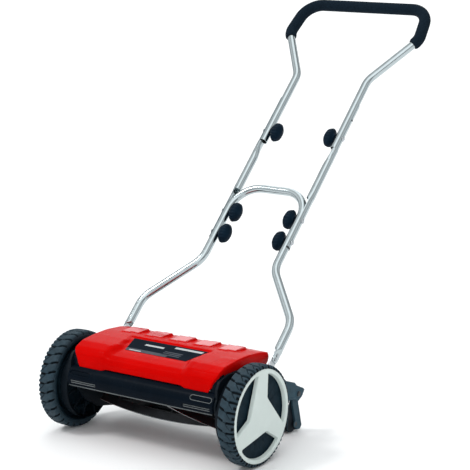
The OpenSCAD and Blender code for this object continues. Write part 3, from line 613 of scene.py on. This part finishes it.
def cover_relief(x, y):
    """Raised belt on each shoulder and the five pads along the rear edge, in mm outwards."""
    ax = abs(x)
    front = smooth((-60 - y) / 10)
    inner = lerp(lerp(147, 177, (y + 47) / 63.5), 140, front)
    outer = lerp(lerp(189, 207, (y + 52.7) / 41.3), 178, front)
    belt = smooth((ax - inner) / 7 + 0.5) * smooth((outer - ax) / 8 + 0.5) * smooth((20 - y) / 5)
    d = 0.4 * belt
    if y > 40:
        for centre in (-150, -75, 0, 75, 150):
            u = x - centre
            shift = 6 * smooth((u + 3) / 6) - 3
            pad = smooth((26.5 - abs(u)) / 4) * smooth((y - 60 - shift) / 7) * smooth((116 + shift - y) / 5)
            d = max(d, (2.6 + 3.6 * smooth((y - 60) / 50)) * pad)
    return d


def top_cover():
    b = Build()
    cols, raised = [], []
    for u in [-1 + 2 * i / 220 for i in range(221)]:
        line = fillet(cover_section(u * COVER_HALF), COVER_RADII, 10)
        col, flags = [], []
        # even spacing along the rounded profile, the same count in every column
        lengths = [0.0]
        for p, q in zip(line, line[1:]):
            lengths.append(lengths[-1] + (q - p).length)
        total = lengths[-1]
        k = 0
        rows = 150
        for i in range(rows + 1):
            s = total * i / rows
            while k < len(lengths) - 2 and lengths[k + 1] < s:
                k += 1
            t = (s - lengths[k]) / max(1e-9, lengths[k + 1] - lengths[k])
            p = line[k].lerp(line[k + 1], min(1.0, max(0.0, t)))
            tangent = (line[k + 1] - line[k]).normalized()
            nrm = Vector((-tangent.y, tangent.x))
            half = cover_half(p.y)
            x = u * half
            edge = max(0.0, (abs(x) - (half - END_ROUND)) / END_ROUND)
            drop = END_ROUND * (1 - math.sqrt(max(0.0, 1 - edge * edge)))
            off = cover_relief(x, p.x) - drop * smooth((p.y - 70) / 15)
            col.append((x, p.x + nrm.x * off, p.y + nrm.y * off))
            flags.append(off > 2.2)
        cols.append(col)
        raised.append(flags)
    b.grid(cols)
    for i in range(len(cols) - 1):
        for j in range(len(cols[0]) - 1):
            if raised[i][j] and raised[i + 1][j + 1]:
                b.mats[i * (len(cols[0]) - 1) + j] = 1
    for sgn, col in ((-1, cols[0]), (1, cols[-1])):
        rows = [col]
        for k in range(1, 9):
            t = k / 8
            row = []
            for x, y, z in col:
                low = lerp(z, min(z, 66.0), t)
                wall = min(abs(x), lerp(abs(x), cover_half(low) - 0.4, t))
                row.append((sgn * wall, lerp(y, max(-76, min(150, y)), t), low))
            rows.append(row)
        b.grid(rows)
    b.done("top_cover_shell", "chassis", [RED, RED_PAD], "top_cover", solid=2.6, angle=40)


def panel(x, y, lift):
    """A point of the sloped label panel."""
    return (x, y, 109 + (y + 28) * math.tan(math.radians(9.2)) + lift)


def cover_label():
    b = Build()

    def plate(corners, lift, t, mat):
        b.block([panel(x, y, lift) for x, y in corners], [panel(x, y, lift + t) for x, y in corners], mat)

    def edge(y):
        return lerp(93, 114.5, (y + 27) / 66)
    plate([(-edge(-27), -27), (edge(-27), -27), (edge(39.5), 39.5), (-edge(39.5), 39.5)], 0.25, 0.5, 0)
    plate([(-edge(-27), -27), (edge(-27) - 62, -27), (edge(-13) - 66, -13), (-edge(-13), -13)], 0.7, 0.12, 1)
    plate([(-84, -24.4), (-48, -24.4), (-48, -20), (-84, -20)], 0.8, 0.12, 2)
    plate([(22, 24), (104, 24), (107, 33), (22, 33)], 0.7, 0.12, 2)
    plate([(-62, 12), (-4, 12), (-4, 20), (-62, 20)], 0.7, 0.12, 2)
    for k in range(3):
        plate([(10, -17 + 8 * k), (64, -17 + 8 * k), (64, -13 + 8 * k), (10, -13 + 8 * k)], 0.7, 0.12, 1)
    b.done("plain_label", "chassis", [FILM, FILM_GREY, FILM_PALE], "cover_label", angle=20)


def small_fasteners():
    b = Build()
    for x in (-176, 176):
        def up(a, c, s, x=x):
            return (x + c, 132 + s, a)
        b.revolve([(TIP, 100), (2, 100), (2, 115)], n=16, frame_at=up)
        b.revolve([(4.4, 112.7), (4.5, 114.9), (3.9, 115.7), (2.2, 115.9), (2.0, 115.1), (TIP, 115.1)], n=28,
                  frame_at=up)
    b.done("cover_screw_heads", "chassis", BLACK_STEEL, "cover_screws")
    b = Build()
    for s in (-1, 1):
        for y, z in ((-62, 52), (-62, 8)):
            b.revolve([(a, s * c) for a, c in ((4.4, 228.1), (4.5, 230.4), (3.8, 231), (2.2, 231),
                                               (2.0, 230.2), (TIP, 230.2))], y, z, 24)
    b.done("housing_screw_heads", "chassis", BLACK_STEEL, "housing_screws")
    b = Build()
    for y, z in ((140, 40), (-30, 56)):
        b.rod(-228, 228, 5, y, z, 32)
    b.done("tie_rods", "chassis", ZINC, "tie_bar")
    b = Build()
    for s in (-1, 1):
        for y, z in ((184, 16), (184, -20)):
            b.revolve([(TIP, s * 218), (3, s * 218), (3, s * 236.0)], y, z, 20)
            b.revolve([(5.5, s * 236.05), (5.5, s * 238.2), (4.4, s * 239), (TIP, s * 239)], y, z, 6)
    b.done("bracket_bolts", "chassis", ZINC, "bracket_screws")
    for name, node, mat, place, x0, x1 in (
            ("arm_pivots", "arm_pivot_bolts", BLACK_STEEL, (ARM_Y, ARM_Z), 218, 236.0),
            ("handle_pivots", "handle_pivot_bolts", ZINC, (PIVOT_Y, PIVOT_Z), 217, 235.5)):
        b = Build()
        for s in (-1, 1):
            b.revolve([(TIP, s * x0), (4, s * x0), (4, s * x1)], *place, 28)
            head = [(7, x1 + 0.05), (7, 238), (5.6, 239.6), (2, 240), (TIP, 240)]
            b.revolve([(r, s * x) for r, x in head], *place, 28)
        b.done(name, "chassis", mat, node)


top_cover()
cover_label()
small_fasteners()


def bed_knife():
    b = Build()
    b.prism([(84.9, -77.9), (126.9, -77.9), (126.9, -80.9), (88.9, -80.9)], -200, 200)
    b.done("bed_knife_blade", "chassis", BLADE, "bed_knife", bevel=0.3)
    b = Build()
    outline = [(105, -77.9), (141, -77.9), (141, -40), (137, -40), (137, -72.9), (105, -72.9)]
    b.prism(outline, -220.8, 220.8)
    for x in range(-160, 161, 40):
        b.prism([(137, -73), (137, -52), (118, -73)], x - 1.2, x + 1.2)
    b.done("bed_knife_bar", "chassis", FRAME_PLASTIC_AND_SHADE, "bed_bar", bevel=0.8, angle=40)
    b = Build()
    for x in range(-160, 161, 80):
        def down(a, c, s, x=x):
            return (x + c, 118 + s, a)
        b.revolve([(4.5, -80.9), (4.5, -82.2), (3.6, -82.9), (2, -82.9), (1.8, -82.3), (TIP, -82.3)], n=24,
                  frame_at=down)
    b.done("bed_knife_screw_heads", "chassis", BLACK_STEEL, "bed_knife_screws")


def height_bracket(name, side):
    b = Build()
    ear = rounded([(166, 0), (166, 33), (207, 26), (243, 13), (253, 3), (284, -11), (289, -16), (278, -31),
                   (257, -41), (242, -31), (222, -28), (166, -32), (166, 0)],
                   [0, 4, 8, 6, 6, 2, 2, 8, 10, 6, 6, 4, 0], 20)
    b.prism(ear, 229.5, 236)
    b.prism([(170, 30), (205, 23), (205, -26), (170, -29)], 228.1, 229.6)
    b.revolve([(12, 235.9), (12, 236.2), (11.4, 236.6), (4.02, 236.6)], ARM_Y, ARM_Z, 36)
    b.prism([(210, 22), (247, 8), (246, 5.6), (209, 19.4)], 235.9, 237.2)
    b.prism([(210, -24), (243, -28), (243, -25.6), (210, -21.6)], 235.9, 237.2)
    b.done(name + "_height_ear", "chassis", BRACKET, "height_bracket_" + name, side, bevel=0.8,
           angle=40)
    b = Build()
    plate = rounded([(260, -8), (248, -12), (247, -32), (236, -60), (231, -110), (238, -119), (284, -121),
                     (291, -113), (276, -55), (272, -30), (271, -12), (260, -8)],
                    [0, 9, 8, 12, 6, 5, 6, 6, 20, 10, 9, 0], 12)
    # the back plate shows past the face as a near-black flange: painted shade on the link's own plastic
    b.prism(plate, 219, 221.5, 1)
    face = rounded([(260, -8), (249, -12), (248, -50), (265, -112), (268, -120), (284, -121), (291, -113),
                    (276, -55), (272, -30), (271, -12), (260, -8)], [0, 8, 14, 6, 4, 6, 6, 20, 10, 9, 0], 12)
    b.prism(face, 221.4, 226.5)
    for start, end in (((250, -52), (266, -110)), ((274, -56), (288, -111))):
        b.prism(rib(start, end, 1.2), 226.4, 227.6)
    b.revolve([(10, 226.4), (10, 227.4), (9.4, 227.9), (6.02, 227.9)], ROLLER_Y, ROLLER_Z, 32)
    b.done(name + "_roller_link", "roller_carrier", [BRACKET, FRAME_PLASTIC_AND_SHADE], "roller_arm_" + name,
           side, bevel=0.8, angle=40)


def roller_parts():
    b = Build()
    profile = [(6.1, -217), (20.8, -217), (22, -215.6)]
    for x in range(-180, 181, 72):
        profile += [(22, x - 2.2), (20.9, x - 1.4), (20.9, x + 1.4), (22, x + 2.2)]
    profile += [(22, 215.6), (20.8, 217), (6.1, 217)]
    b.revolve(profile, ROLLER_Y, ROLLER_Z, 72)
    b.revolve([(6.1, -217), (6.1, 217)], ROLLER_Y, ROLLER_Z, 72)
    b.done("ground_roller", "roller", ROLLER, "roller")
    b = Build()
    b.rod(-227.7, 227.7, 6, ROLLER_Y, ROLLER_Z, 32, 0.8)
    b.done("roller_pin", "roller_carrier", BLACK_STEEL, "roller_axle")


bed_knife()
for wheel, sign in SIDES.items():
    height_bracket(wheel, sign)
roller_parts()


# ---- Reel ----

BLADES = 5
BLADE_TWIST = 95


def blade_angle(k, x):
    """Angle of blade k at x, from the rear (+y) towards the top."""
    return -90 - 16 + BLADE_TWIST * x / REEL_LENGTH + 360 / BLADES * k


def reel_parts():
    for k in range(BLADES):
        b = Build()
        steps = 96
        rows = []
        for i in range(steps + 1):
            x = REEL_LENGTH * (i / steps - 0.5)
            a = blade_angle(k, x)
            c, s = cos(a), sin(a)
            ring = []
            for r, w in ((52, -1.1), (72.6, -1.1), (74, -0.7), (74, 1.1), (66, 1.1), (52, 1.1)):
                ring.append((x, REEL_Y + r * c - w * s, REEL_Z + r * s + w * c))
            rows.append(ring)
        b.loft(rows)
        # faces 1 and 2 of every ring are the ground cutting edge
        for f in range(steps * 6):
            if f % 6 in (1, 2):
                b.mats[f] = 1
        b.done("helical_blade_%d" % (k + 1), "reel", [BLADE, GROUND],
               "reel_blade_%d" % (k + 1), angle=25)
    for name, x0 in (("left", -150), ("middle", 0), ("right", 150)):
        b = Build()
        for k in range(BLADES):
            a = blade_angle(k, x0)
            c, s = cos(a), sin(a)
            pts = [(8, -7), (40, -5), (51.7, -6), (51.7, 6), (40, 5), (8, 7)]
            b.prism([(REEL_Y + r * c - w * s, REEL_Z + r * s + w * c) for r, w in pts], x0 - 1.5, x0 + 1.5)
        b.revolve([(7.02, x0 - 5), (12.4, x0 - 5), (13, x0 - 4.4), (13, x0 + 4.4), (12.4, x0 + 5),
                   (7.02, x0 + 5)], REEL_Y, REEL_Z, 48, closed=True)
        b.done("spider_" + name, "reel", BLADE, "reel_spider_" + name)


reel_parts()


# ---- Handle ----

NECK_X = 113.6
BOLT_V = (480.0, 550.0, 826.0)
TUBE_R = 11
TUBE_WALL = 1.5
TUBE_SIDES = 72
LEG_X = 233.3
LEG_V = 168


def tube(b, path, r, n):
    """Sweeps a round section along a path of (x, v) points; returns its outer rings and its bore's."""
    rings, inner = [], []
    turns = [360 * k / n for k in range(n)]
    for i, p in enumerate(path):
        q, w = path[max(0, i - 1)], path[min(len(path) - 1, i + 1)]
        t = (w - q).normalized()
        side = Vector((-t.y, t.x))
        outside = r(i) if callable(r) else r
        for rows, rr in ((rings, outside), (inner, outside - TUBE_WALL)):
            rows.append([handle(p.x + side.x * cos(a) * rr, p.y + side.y * cos(a) * rr, sin(a) * rr)
                         for a in turns])
    b.grid(rings, loop_col=True)
    return rings, inner


def close_ends(b, rings, inner):
    """Ends a tube with its wall and a short stretch of its bore; the bore and the disc closing it are painted
    dark as shade.
    """
    for end, bore in ((rings[0], inner[:12]), (rings[-1], inner[:-13:-1])):
        b.grid([end, bore[0]], loop_col=True)
        b.grid(bore, loop_col=True, mat=1)
        b.add(bore[-1], [list(range(len(end)))], 1)


def mirror_path(points):
    """A path from the middle outwards, with its mirror image in front of it."""
    return [Vector((-p.x, p.y)) for p in points[::-1] if p.x > 1e-6] + points


def lower_tube():
    """The lower loop; both of its legs are flattened where they meet the pivot straps."""
    half = fillet([(0, 635.6), (NECK_X, 635.6), (NECK_X, 390.8), (LEG_X, 246.9), (LEG_X, LEG_V)],
                  [0, 75, 70, 70, 0], 5)
    path = resample(mirror_path(half), 14)
    b = Build()
    rings = tube(b, path, TUBE_R, TUBE_SIDES)[0]
    for side, end in ((-1, rings[0]), (1, rings[-1])):
        rows = [end]
        steps = 16
        for i in range(1, steps + 13):
            t = smooth(i / steps)
            v = LEG_V - 14 * min(1.0, i / steps) - max(0, i - steps) * 24 / 12
            half_t, half_w = lerp(TUBE_R, 1.5, t), lerp(TUBE_R, 12.8, t)
            centre = lerp(LEG_X, 236.6, t)
            corner = smooth(max(0, i - steps - 8) / 4) * 5
            p = lerp(2.0, 5.0, t)
            row = []
            for k in range(TUBE_SIDES):
                c, s = cos(360 * k / TUBE_SIDES), sin(360 * k / TUBE_SIDES)
                cx = math.copysign(abs(c) ** (2 / p), c) * half_t
                cw = math.copysign(abs(s) ** (2 / p), s) * (half_w - corner * 0.6)
                row.append(handle(side * centre + (-cx if side > 0 else cx), v, cw))
            rows.append(row)
        rows = [rows[0]] + [align_ring(rows[0], r) for r in rows[1:]]
        b.grid(rows, loop_col=True)
        b.add(rows[-1], [list(range(TUBE_SIDES))])
    b.done("lower_handle_loop", "handle", TUBE, "lower_handle_tube", angle=40, merge=0.01)


def align_ring(ref, ring):
    """Turns a ring so that its points follow those of the ring before it."""
    n = len(ring)
    best = None
    for seq in (ring, ring[::-1]):
        for shift in range(n):
            cand = seq[shift:] + seq[:shift]
            d = sum((cand[i][0] - ref[i][0]) ** 2 + (cand[i][2] - ref[i][2]) ** 2 for i in range(0, n, 5))
            if best is None or d < best[0]:
                best = (d, cand)
    return best[1]


UPPER = [(0, TOP_V), (195.6, TOP_V), (209.3, 1184.6), (NECK_X, 1030.8), (NECK_X, 791)]


def upper_tube():
    half = fillet(UPPER, [0, 58, 45, 60, 0], 5)
    path = resample(mirror_path(half), 12)
    b = Build()
    rings, inner = tube(b, path, TUBE_R, TUBE_SIDES)
    close_ends(b, rings, inner)
    b.done("upper_handle_loop", "handle", [TUBE, BORE_SHADE], "upper_handle_tube", angle=40,
           merge=0.01)


FOAM_V = 1166
FOAM_R = 16.25
FOAM_BORE = 11.25


def foam_grip():
    corner = [Vector(p) for p in UPPER[:4]]
    d = corner[3] - corner[2]
    end = corner[2] - d * ((corner[2].y - FOAM_V) / d.y)
    half = fillet(corner[:3] + [end], [0, 58, 45, 0], 4)
    path = resample(mirror_path(half), 5)
    last = len(path) - 1

    def radius(i):
        edge = min(i, last - i)
        return FOAM_R - (2.6 if edge == 0 else 0.9 if edge == 1 else 0.2 if edge == 2 else 0.0)
    b = Build()
    rings = tube(b, path, radius, 40)[0]
    for ring, p, q, turn in ((rings[0], path[0], path[1], -1), (rings[-1], path[-1], path[-2], 1)):
        t = (p - q).normalized()
        side = Vector((-t.y, t.x)) * turn
        hole = [handle(p.x + side.x * cos(9 * k) * FOAM_BORE, p.y + side.y * cos(9 * k) * FOAM_BORE,
                       sin(9 * k) * FOAM_BORE) for k in range(40)]
        b.grid([ring, align_ring(ring, hole)], loop_col=True)
    grip = b.done("soft_grip", "handle", FOAM, "foam_grip", angle=60)


STRUT_X = 116.6
ROUND_LOW, ROUND_HIGH = 622, 787
CHANNEL_LOW, CHANNEL_HIGH = 461, 942


def strut(name, side):
    """Straight middle tube; both its ends are pressed into channels round the neck tubes' outer sides."""
    b = Build()
    n = 36
    rows = []

    def ring(v, r):
        """A ring of the round tube, flattened on its inner side towards the upper end."""
        press = 0.62 * smooth((v - ROUND_HIGH + 58) / 44)
        return [handle(STRUT_X + r * cos(10 * k) * (1 - press * (cos(10 * k) < 0)), v, r * sin(10 * k))
                for k in range(n)]
    for v in [ROUND_LOW + (ROUND_HIGH - ROUND_LOW) * k / 40 for k in range(41)]:
        rows.append(ring(v, TUBE_R))
    b.grid(rows, loop_col=True)
    for v, depth in ((ROUND_LOW, 9), (ROUND_HIGH, -2)):
        hole = [ring(v, TUBE_R - TUBE_WALL), ring(v + depth, TUBE_R - TUBE_WALL)]
        b.grid([ring(v, TUBE_R), hole[0]], loop_col=True)
        b.grid(hole, loop_col=True)
        b.add(hole[-1], [list(range(n))])
    for v0, v1, free in ((CHANNEL_LOW, ROUND_LOW + 16, CHANNEL_LOW), (748, CHANNEL_HIGH, CHANNEL_HIGH)):
        outer, inner = [], []
        count = 48
        for i in range(count + 1):
            v = lerp(v0, v1, i / count)
            d = abs(v - free)
            half = 65 - 14 * (1 - smooth(d / 8))
            blend = smooth((d - (abs(v1 - v0) - 30)) / 26)
            half = lerp(half, 100, blend)
            cx = lerp(NECK_X, 116.2, blend)
            r1, r0 = lerp(12.65, 11.6, blend), lerp(11.15, 10.1, blend)
            for shell, r in ((outer, r1), (inner, r0)):
                turns = [half * (2 * k / 24 - 1) for k in range(25)]
                shell.append([handle(cx + r * cos(a), v, r * sin(a)) for a in turns])
        b.grid(outer)
        b.grid(inner)
        b.grid([[r[0] for r in outer], [r[0] for r in inner]])
        b.grid([[r[-1] for r in outer], [r[-1] for r in inner]])
        b.grid([outer[0], inner[0]])
        b.grid([outer[-1], inner[-1]])
    # a thin crescent at the lower channel's mouth in the bore material: painted shade at the mouth
    lip = [[handle(NECK_X + r * cos(a), v, r * sin(a)) for a in range(-54, 55, 6)]
           for r, v in ((11.1, 459.6), (12.75, 460.6), (12.75, 464), (11.2, 464))]
    b.grid(lip, mat=1)
    # a small disc in the dark bore colour on the upper channel's outer face
    mark = [handle(NECK_X + 12.72, 890 + 3.2 * cos(15 * k), 3.2 * sin(15 * k)) for k in range(24)]
    b.add(mark, [list(range(24))], 1)
    b.done(name + "_middle_tube", "handle", [TUBE, BORE_SHADE], "handle_strut_" + name, side,
           angle=40)


def strap(name, side):
    b = Build()
    outline = []
    for centre, first in ((75, 90), (149.3, -90)):
        for k in range(13):
            a = first + 180 * k / 12
            outline.append((centre + 12.4 * cos(a), 12.4 * sin(a)))
    b.block([handle(231.65, v, w) for v, w in outline], [handle(235.0, v, w) for v, w in outline])
    b.done(name + "_pivot_strap", "handle", ZINC, "handle_strap_" + name, side, bevel=0.5,
           angle=40)


def handle_fasteners():
    for name, node, stations, shank, head, sides in (
            ("leg_screws", "strap_screws", (138, 150), [(TIP, 229.2), (3, 229.2), (3, 238.2)],
             [(5, 238.25), (5, 239.6), (3.8, 240.7), (1.6, 240.8), (1.4, 240.2), (TIP, 240.2)], 24),
            ("carriage_bolts", "handle_bolts", BOLT_V, [(TIP, 90.2), (3, 90.2), (3, 126.3)],
             [(6.9, 126.35), (6.9, 126.9), (6.2, 128.0), (4.4, 128.9), (2.2, 129.1), (TIP, 129.15)], 32)):
        b = Build()
        for s in (-1, 1):
            for v in stations:
                def at(a, c, w, v=v, s=s):
                    return handle(s * a, v + c, w)
                b.revolve(shank, n=20, frame_at=at)
                b.revolve(head, n=sides, frame_at=at)
        b.done(name, "handle", ZINC, node)


# rings of the knob: share of the rim's size, height over the foot, depth of the ribs
KNOB_RINGS = [(0.0, 0.4, 0), (0.06, 2.2, 0), (0.2, 3.8, 0), (0.42, 5.4, 0), (0.64, 7.2, 0.15),
              (0.82, 9.0, 0.5), (0.93, 10.8, 0.85), (0.985, 12.4, 1), (1.0, 14.0, 1), (0.985, 16.0, 1),
              (0.95, 18.6, 0.9), (0.9, 21.4, 0.75), (0.83, 24.2, 0.5)]
KNOB_DOME = [(0.73, 27.2, 0.2), (0.6, 29.6, 0), (0.44, 31.5, 0), (0.26, 32.8, 0), (0.1, 33.4, 0),
             (0.002, 33.5, 0)]
KNOB_FOOT = 10.0
KNOB_LONG, KNOB_SHORT = 28.5, 20.5
KNOB_BASE = 102.2


def knob(name, side, v):
    """Oval knob: a flared, ribbed rim and a domed face, its narrow foot towards the tube."""
    b = Build()
    lobes, n = 18, 18 * 10

    def ring(long, short, h, depth):
        out = []
        for k in range(n):
            a = 360 * k / n
            cut = 1.3 * depth * (0.5 - 0.5 * math.cos(math.radians(a * lobes))) ** 2
            out.append(handle(KNOB_BASE - h, v + (long - cut) * cos(a), (short - cut) * sin(a)))
        return out
    rows = [ring(3.1, 3.1, 14, 0), ring(3.1, 3.1, 0.4, 0), ring(KNOB_FOOT - 0.6, KNOB_FOOT - 0.6, 0.4, 0)]
    rows += [ring(lerp(KNOB_FOOT, KNOB_LONG, p), lerp(KNOB_FOOT, KNOB_SHORT, p), h, d)
             for p, h, d in KNOB_RINGS]
    rows += [ring(KNOB_LONG * p, KNOB_SHORT * p, h, d) for p, h, d in KNOB_DOME]
    b.grid(rows, loop_col=True)
    b.done(name + "_grip", name, KNOB, name, side, angle=50)


lower_tube()
upper_tube()
foam_grip()
handle_fasteners()
for wheel, sign in SIDES.items():
    strut(wheel, sign)
    strap(wheel, sign)
    for level, station in zip(("lower", "middle", "upper"), BOLT_V):
        knob("knob_%s_%s" % (level, wheel), sign, station)


# ---- Carried-over CAD nodes ----

for node in ("reel_shaft", "pinion_left", "pinion_right", "pawl_left", "pawl_right", "reel_bearing_left",
             "reel_bearing_right"):
    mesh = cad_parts[node].data
    mesh.materials.clear()
    mesh.materials.append(BLACK_STEEL if node.startswith("pawl") else ZINC)


# ---- Floor, light and camera ----

floor_mesh = bpy.data.meshes.new("floor")
FLOOR_HALF, FLOOR_Z = 60.0, -0.0005
floor_mesh.from_pydata([(x * FLOOR_HALF, y * FLOOR_HALF, FLOOR_Z)
                        for x, y in ((-1, -1), (1, -1), (1, 1), (-1, 1))], [], [(0, 1, 2, 3)])
floor_mesh.materials.append(FLOOR)
floor = bpy.data.objects.new("floor", floor_mesh)
scene.collection.objects.link(floor)

# the sky is darker at the horizon; soft dark flags beside the camera streak the tubes
SKY_STRENGTH = 1.42
SKY_FLAGS = ((0.06, 0.72), (0.28, 0.42), (0.42, 1.15), (0.6, 1.15), (0.74, 0.34), (0.93, 0.62))
CAMERA_RIGHT = (0.8233, 0.5676, 0.0)

scene.view_settings.view_transform = "Standard"
scene.view_settings.look = "None"

world = bpy.data.worlds.new("studio")
scene.world = world
world.use_nodes = True
wn, wl = world.node_tree.nodes, world.node_tree.links
coord = wn.new("ShaderNodeTexCoord")
split = wn.new("ShaderNodeSeparateXYZ")
wl.new(coord.outputs["Generated"], split.inputs[0])
ramp = wn.new("ShaderNodeValToRGB")
low, high = ramp.color_ramp.elements
low.color, high.color = (0.34, 0.36, 0.38, 1), (1.0, 1.0, 1.0, 1)
low.position, high.position = 0.0, 0.5
wl.new(split.outputs["Z"], ramp.inputs["Fac"])
across = wn.new("ShaderNodeVectorMath")
across.operation = "DOT_PRODUCT"
across.inputs[1].default_value = CAMERA_RIGHT
wl.new(coord.outputs["Generated"], across.inputs[0])
flags = wn.new("ShaderNodeValToRGB")
flags.color_ramp.interpolation = "EASE"
stops = flags.color_ramp.elements
for place, level in SKY_FLAGS:
    stop = stops.new(place)
    stop.color = (level, level * 1.02, level * 1.03, 1)
for stop in (stops[0], stops[-1]):
    stop.color = (0.8, 0.82, 0.83, 1)
lift = wn.new("ShaderNodeMapRange")
lift.inputs["From Min"].default_value = -1.0
wl.new(across.outputs["Value"], lift.inputs["Value"])
wl.new(lift.outputs["Result"], flags.inputs["Fac"])
blend = wn.new("ShaderNodeMix")
blend.data_type = "RGBA"
blend.blend_type = "MULTIPLY"
blend.inputs[0].default_value = 1.0
wl.new(ramp.outputs["Color"], blend.inputs[6])
wl.new(flags.outputs["Color"], blend.inputs[7])
wl.new(blend.outputs[2], wn["Background"].inputs["Color"])
wn["Background"].inputs["Strength"].default_value = SKY_STRENGTH


def light(kind, name, energy, place, aim, size=0.0, size_y=0.0, angle=0.0):
    data = bpy.data.lights.new(name, kind)
    data.energy = energy
    if kind == "AREA":
        data.shape = "RECTANGLE"
        data.size = size
        data.size_y = size_y
    else:
        data.angle = math.radians(angle)
    obj = bpy.data.objects.new(name, data)
    scene.collection.objects.link(obj)
    direction = Vector(aim) - Vector(place)
    obj.matrix_world = Matrix.Translation(place) @ direction.to_track_quat("-Z", "Y").to_matrix().to_4x4()


light("SUN", "key", 1.0, (-2.0, -2.2, 4.0), (0, 0, 0.2), angle=14)
light("AREA", "back_panel", 6, (-1.2, 3.4, 1.9), (0, -0.3, 0.2), 3.0, 1.6)

# camera: bearing and height in degrees, distance and aim in mm, focal length in picture elements
AZ, EL, DIST, FOCAL, PICTURE = 34.585, 11.913, 4238.0, 1706.3, 470
AIM_RIGHT, AIM_UP = 181.42, 398.49
look = Vector((sin(AZ) * cos(EL), -cos(AZ) * cos(EL), sin(EL)))
right = Vector((cos(AZ), sin(AZ), 0))
up = Vector((-sin(AZ) * sin(EL), cos(AZ) * sin(EL), cos(EL)))
target = right * AIM_RIGHT + up * AIM_UP
eye = target + look * DIST
cam_data = bpy.data.cameras.new("camera")
cam_data.sensor_width = 36.0
cam_data.lens = FOCAL * cam_data.sensor_width / PICTURE
cam_data.clip_end = 200
camera = bpy.data.objects.new("camera", cam_data)
scene.collection.objects.link(camera)
basis = Matrix((right, up, look)).transposed().to_4x4()
camera.matrix_world = Matrix.Translation(Vector((eye.x, eye.y - MID_Y, eye.z + WHEEL_R)) * MM) @ basis
scene.camera = camera
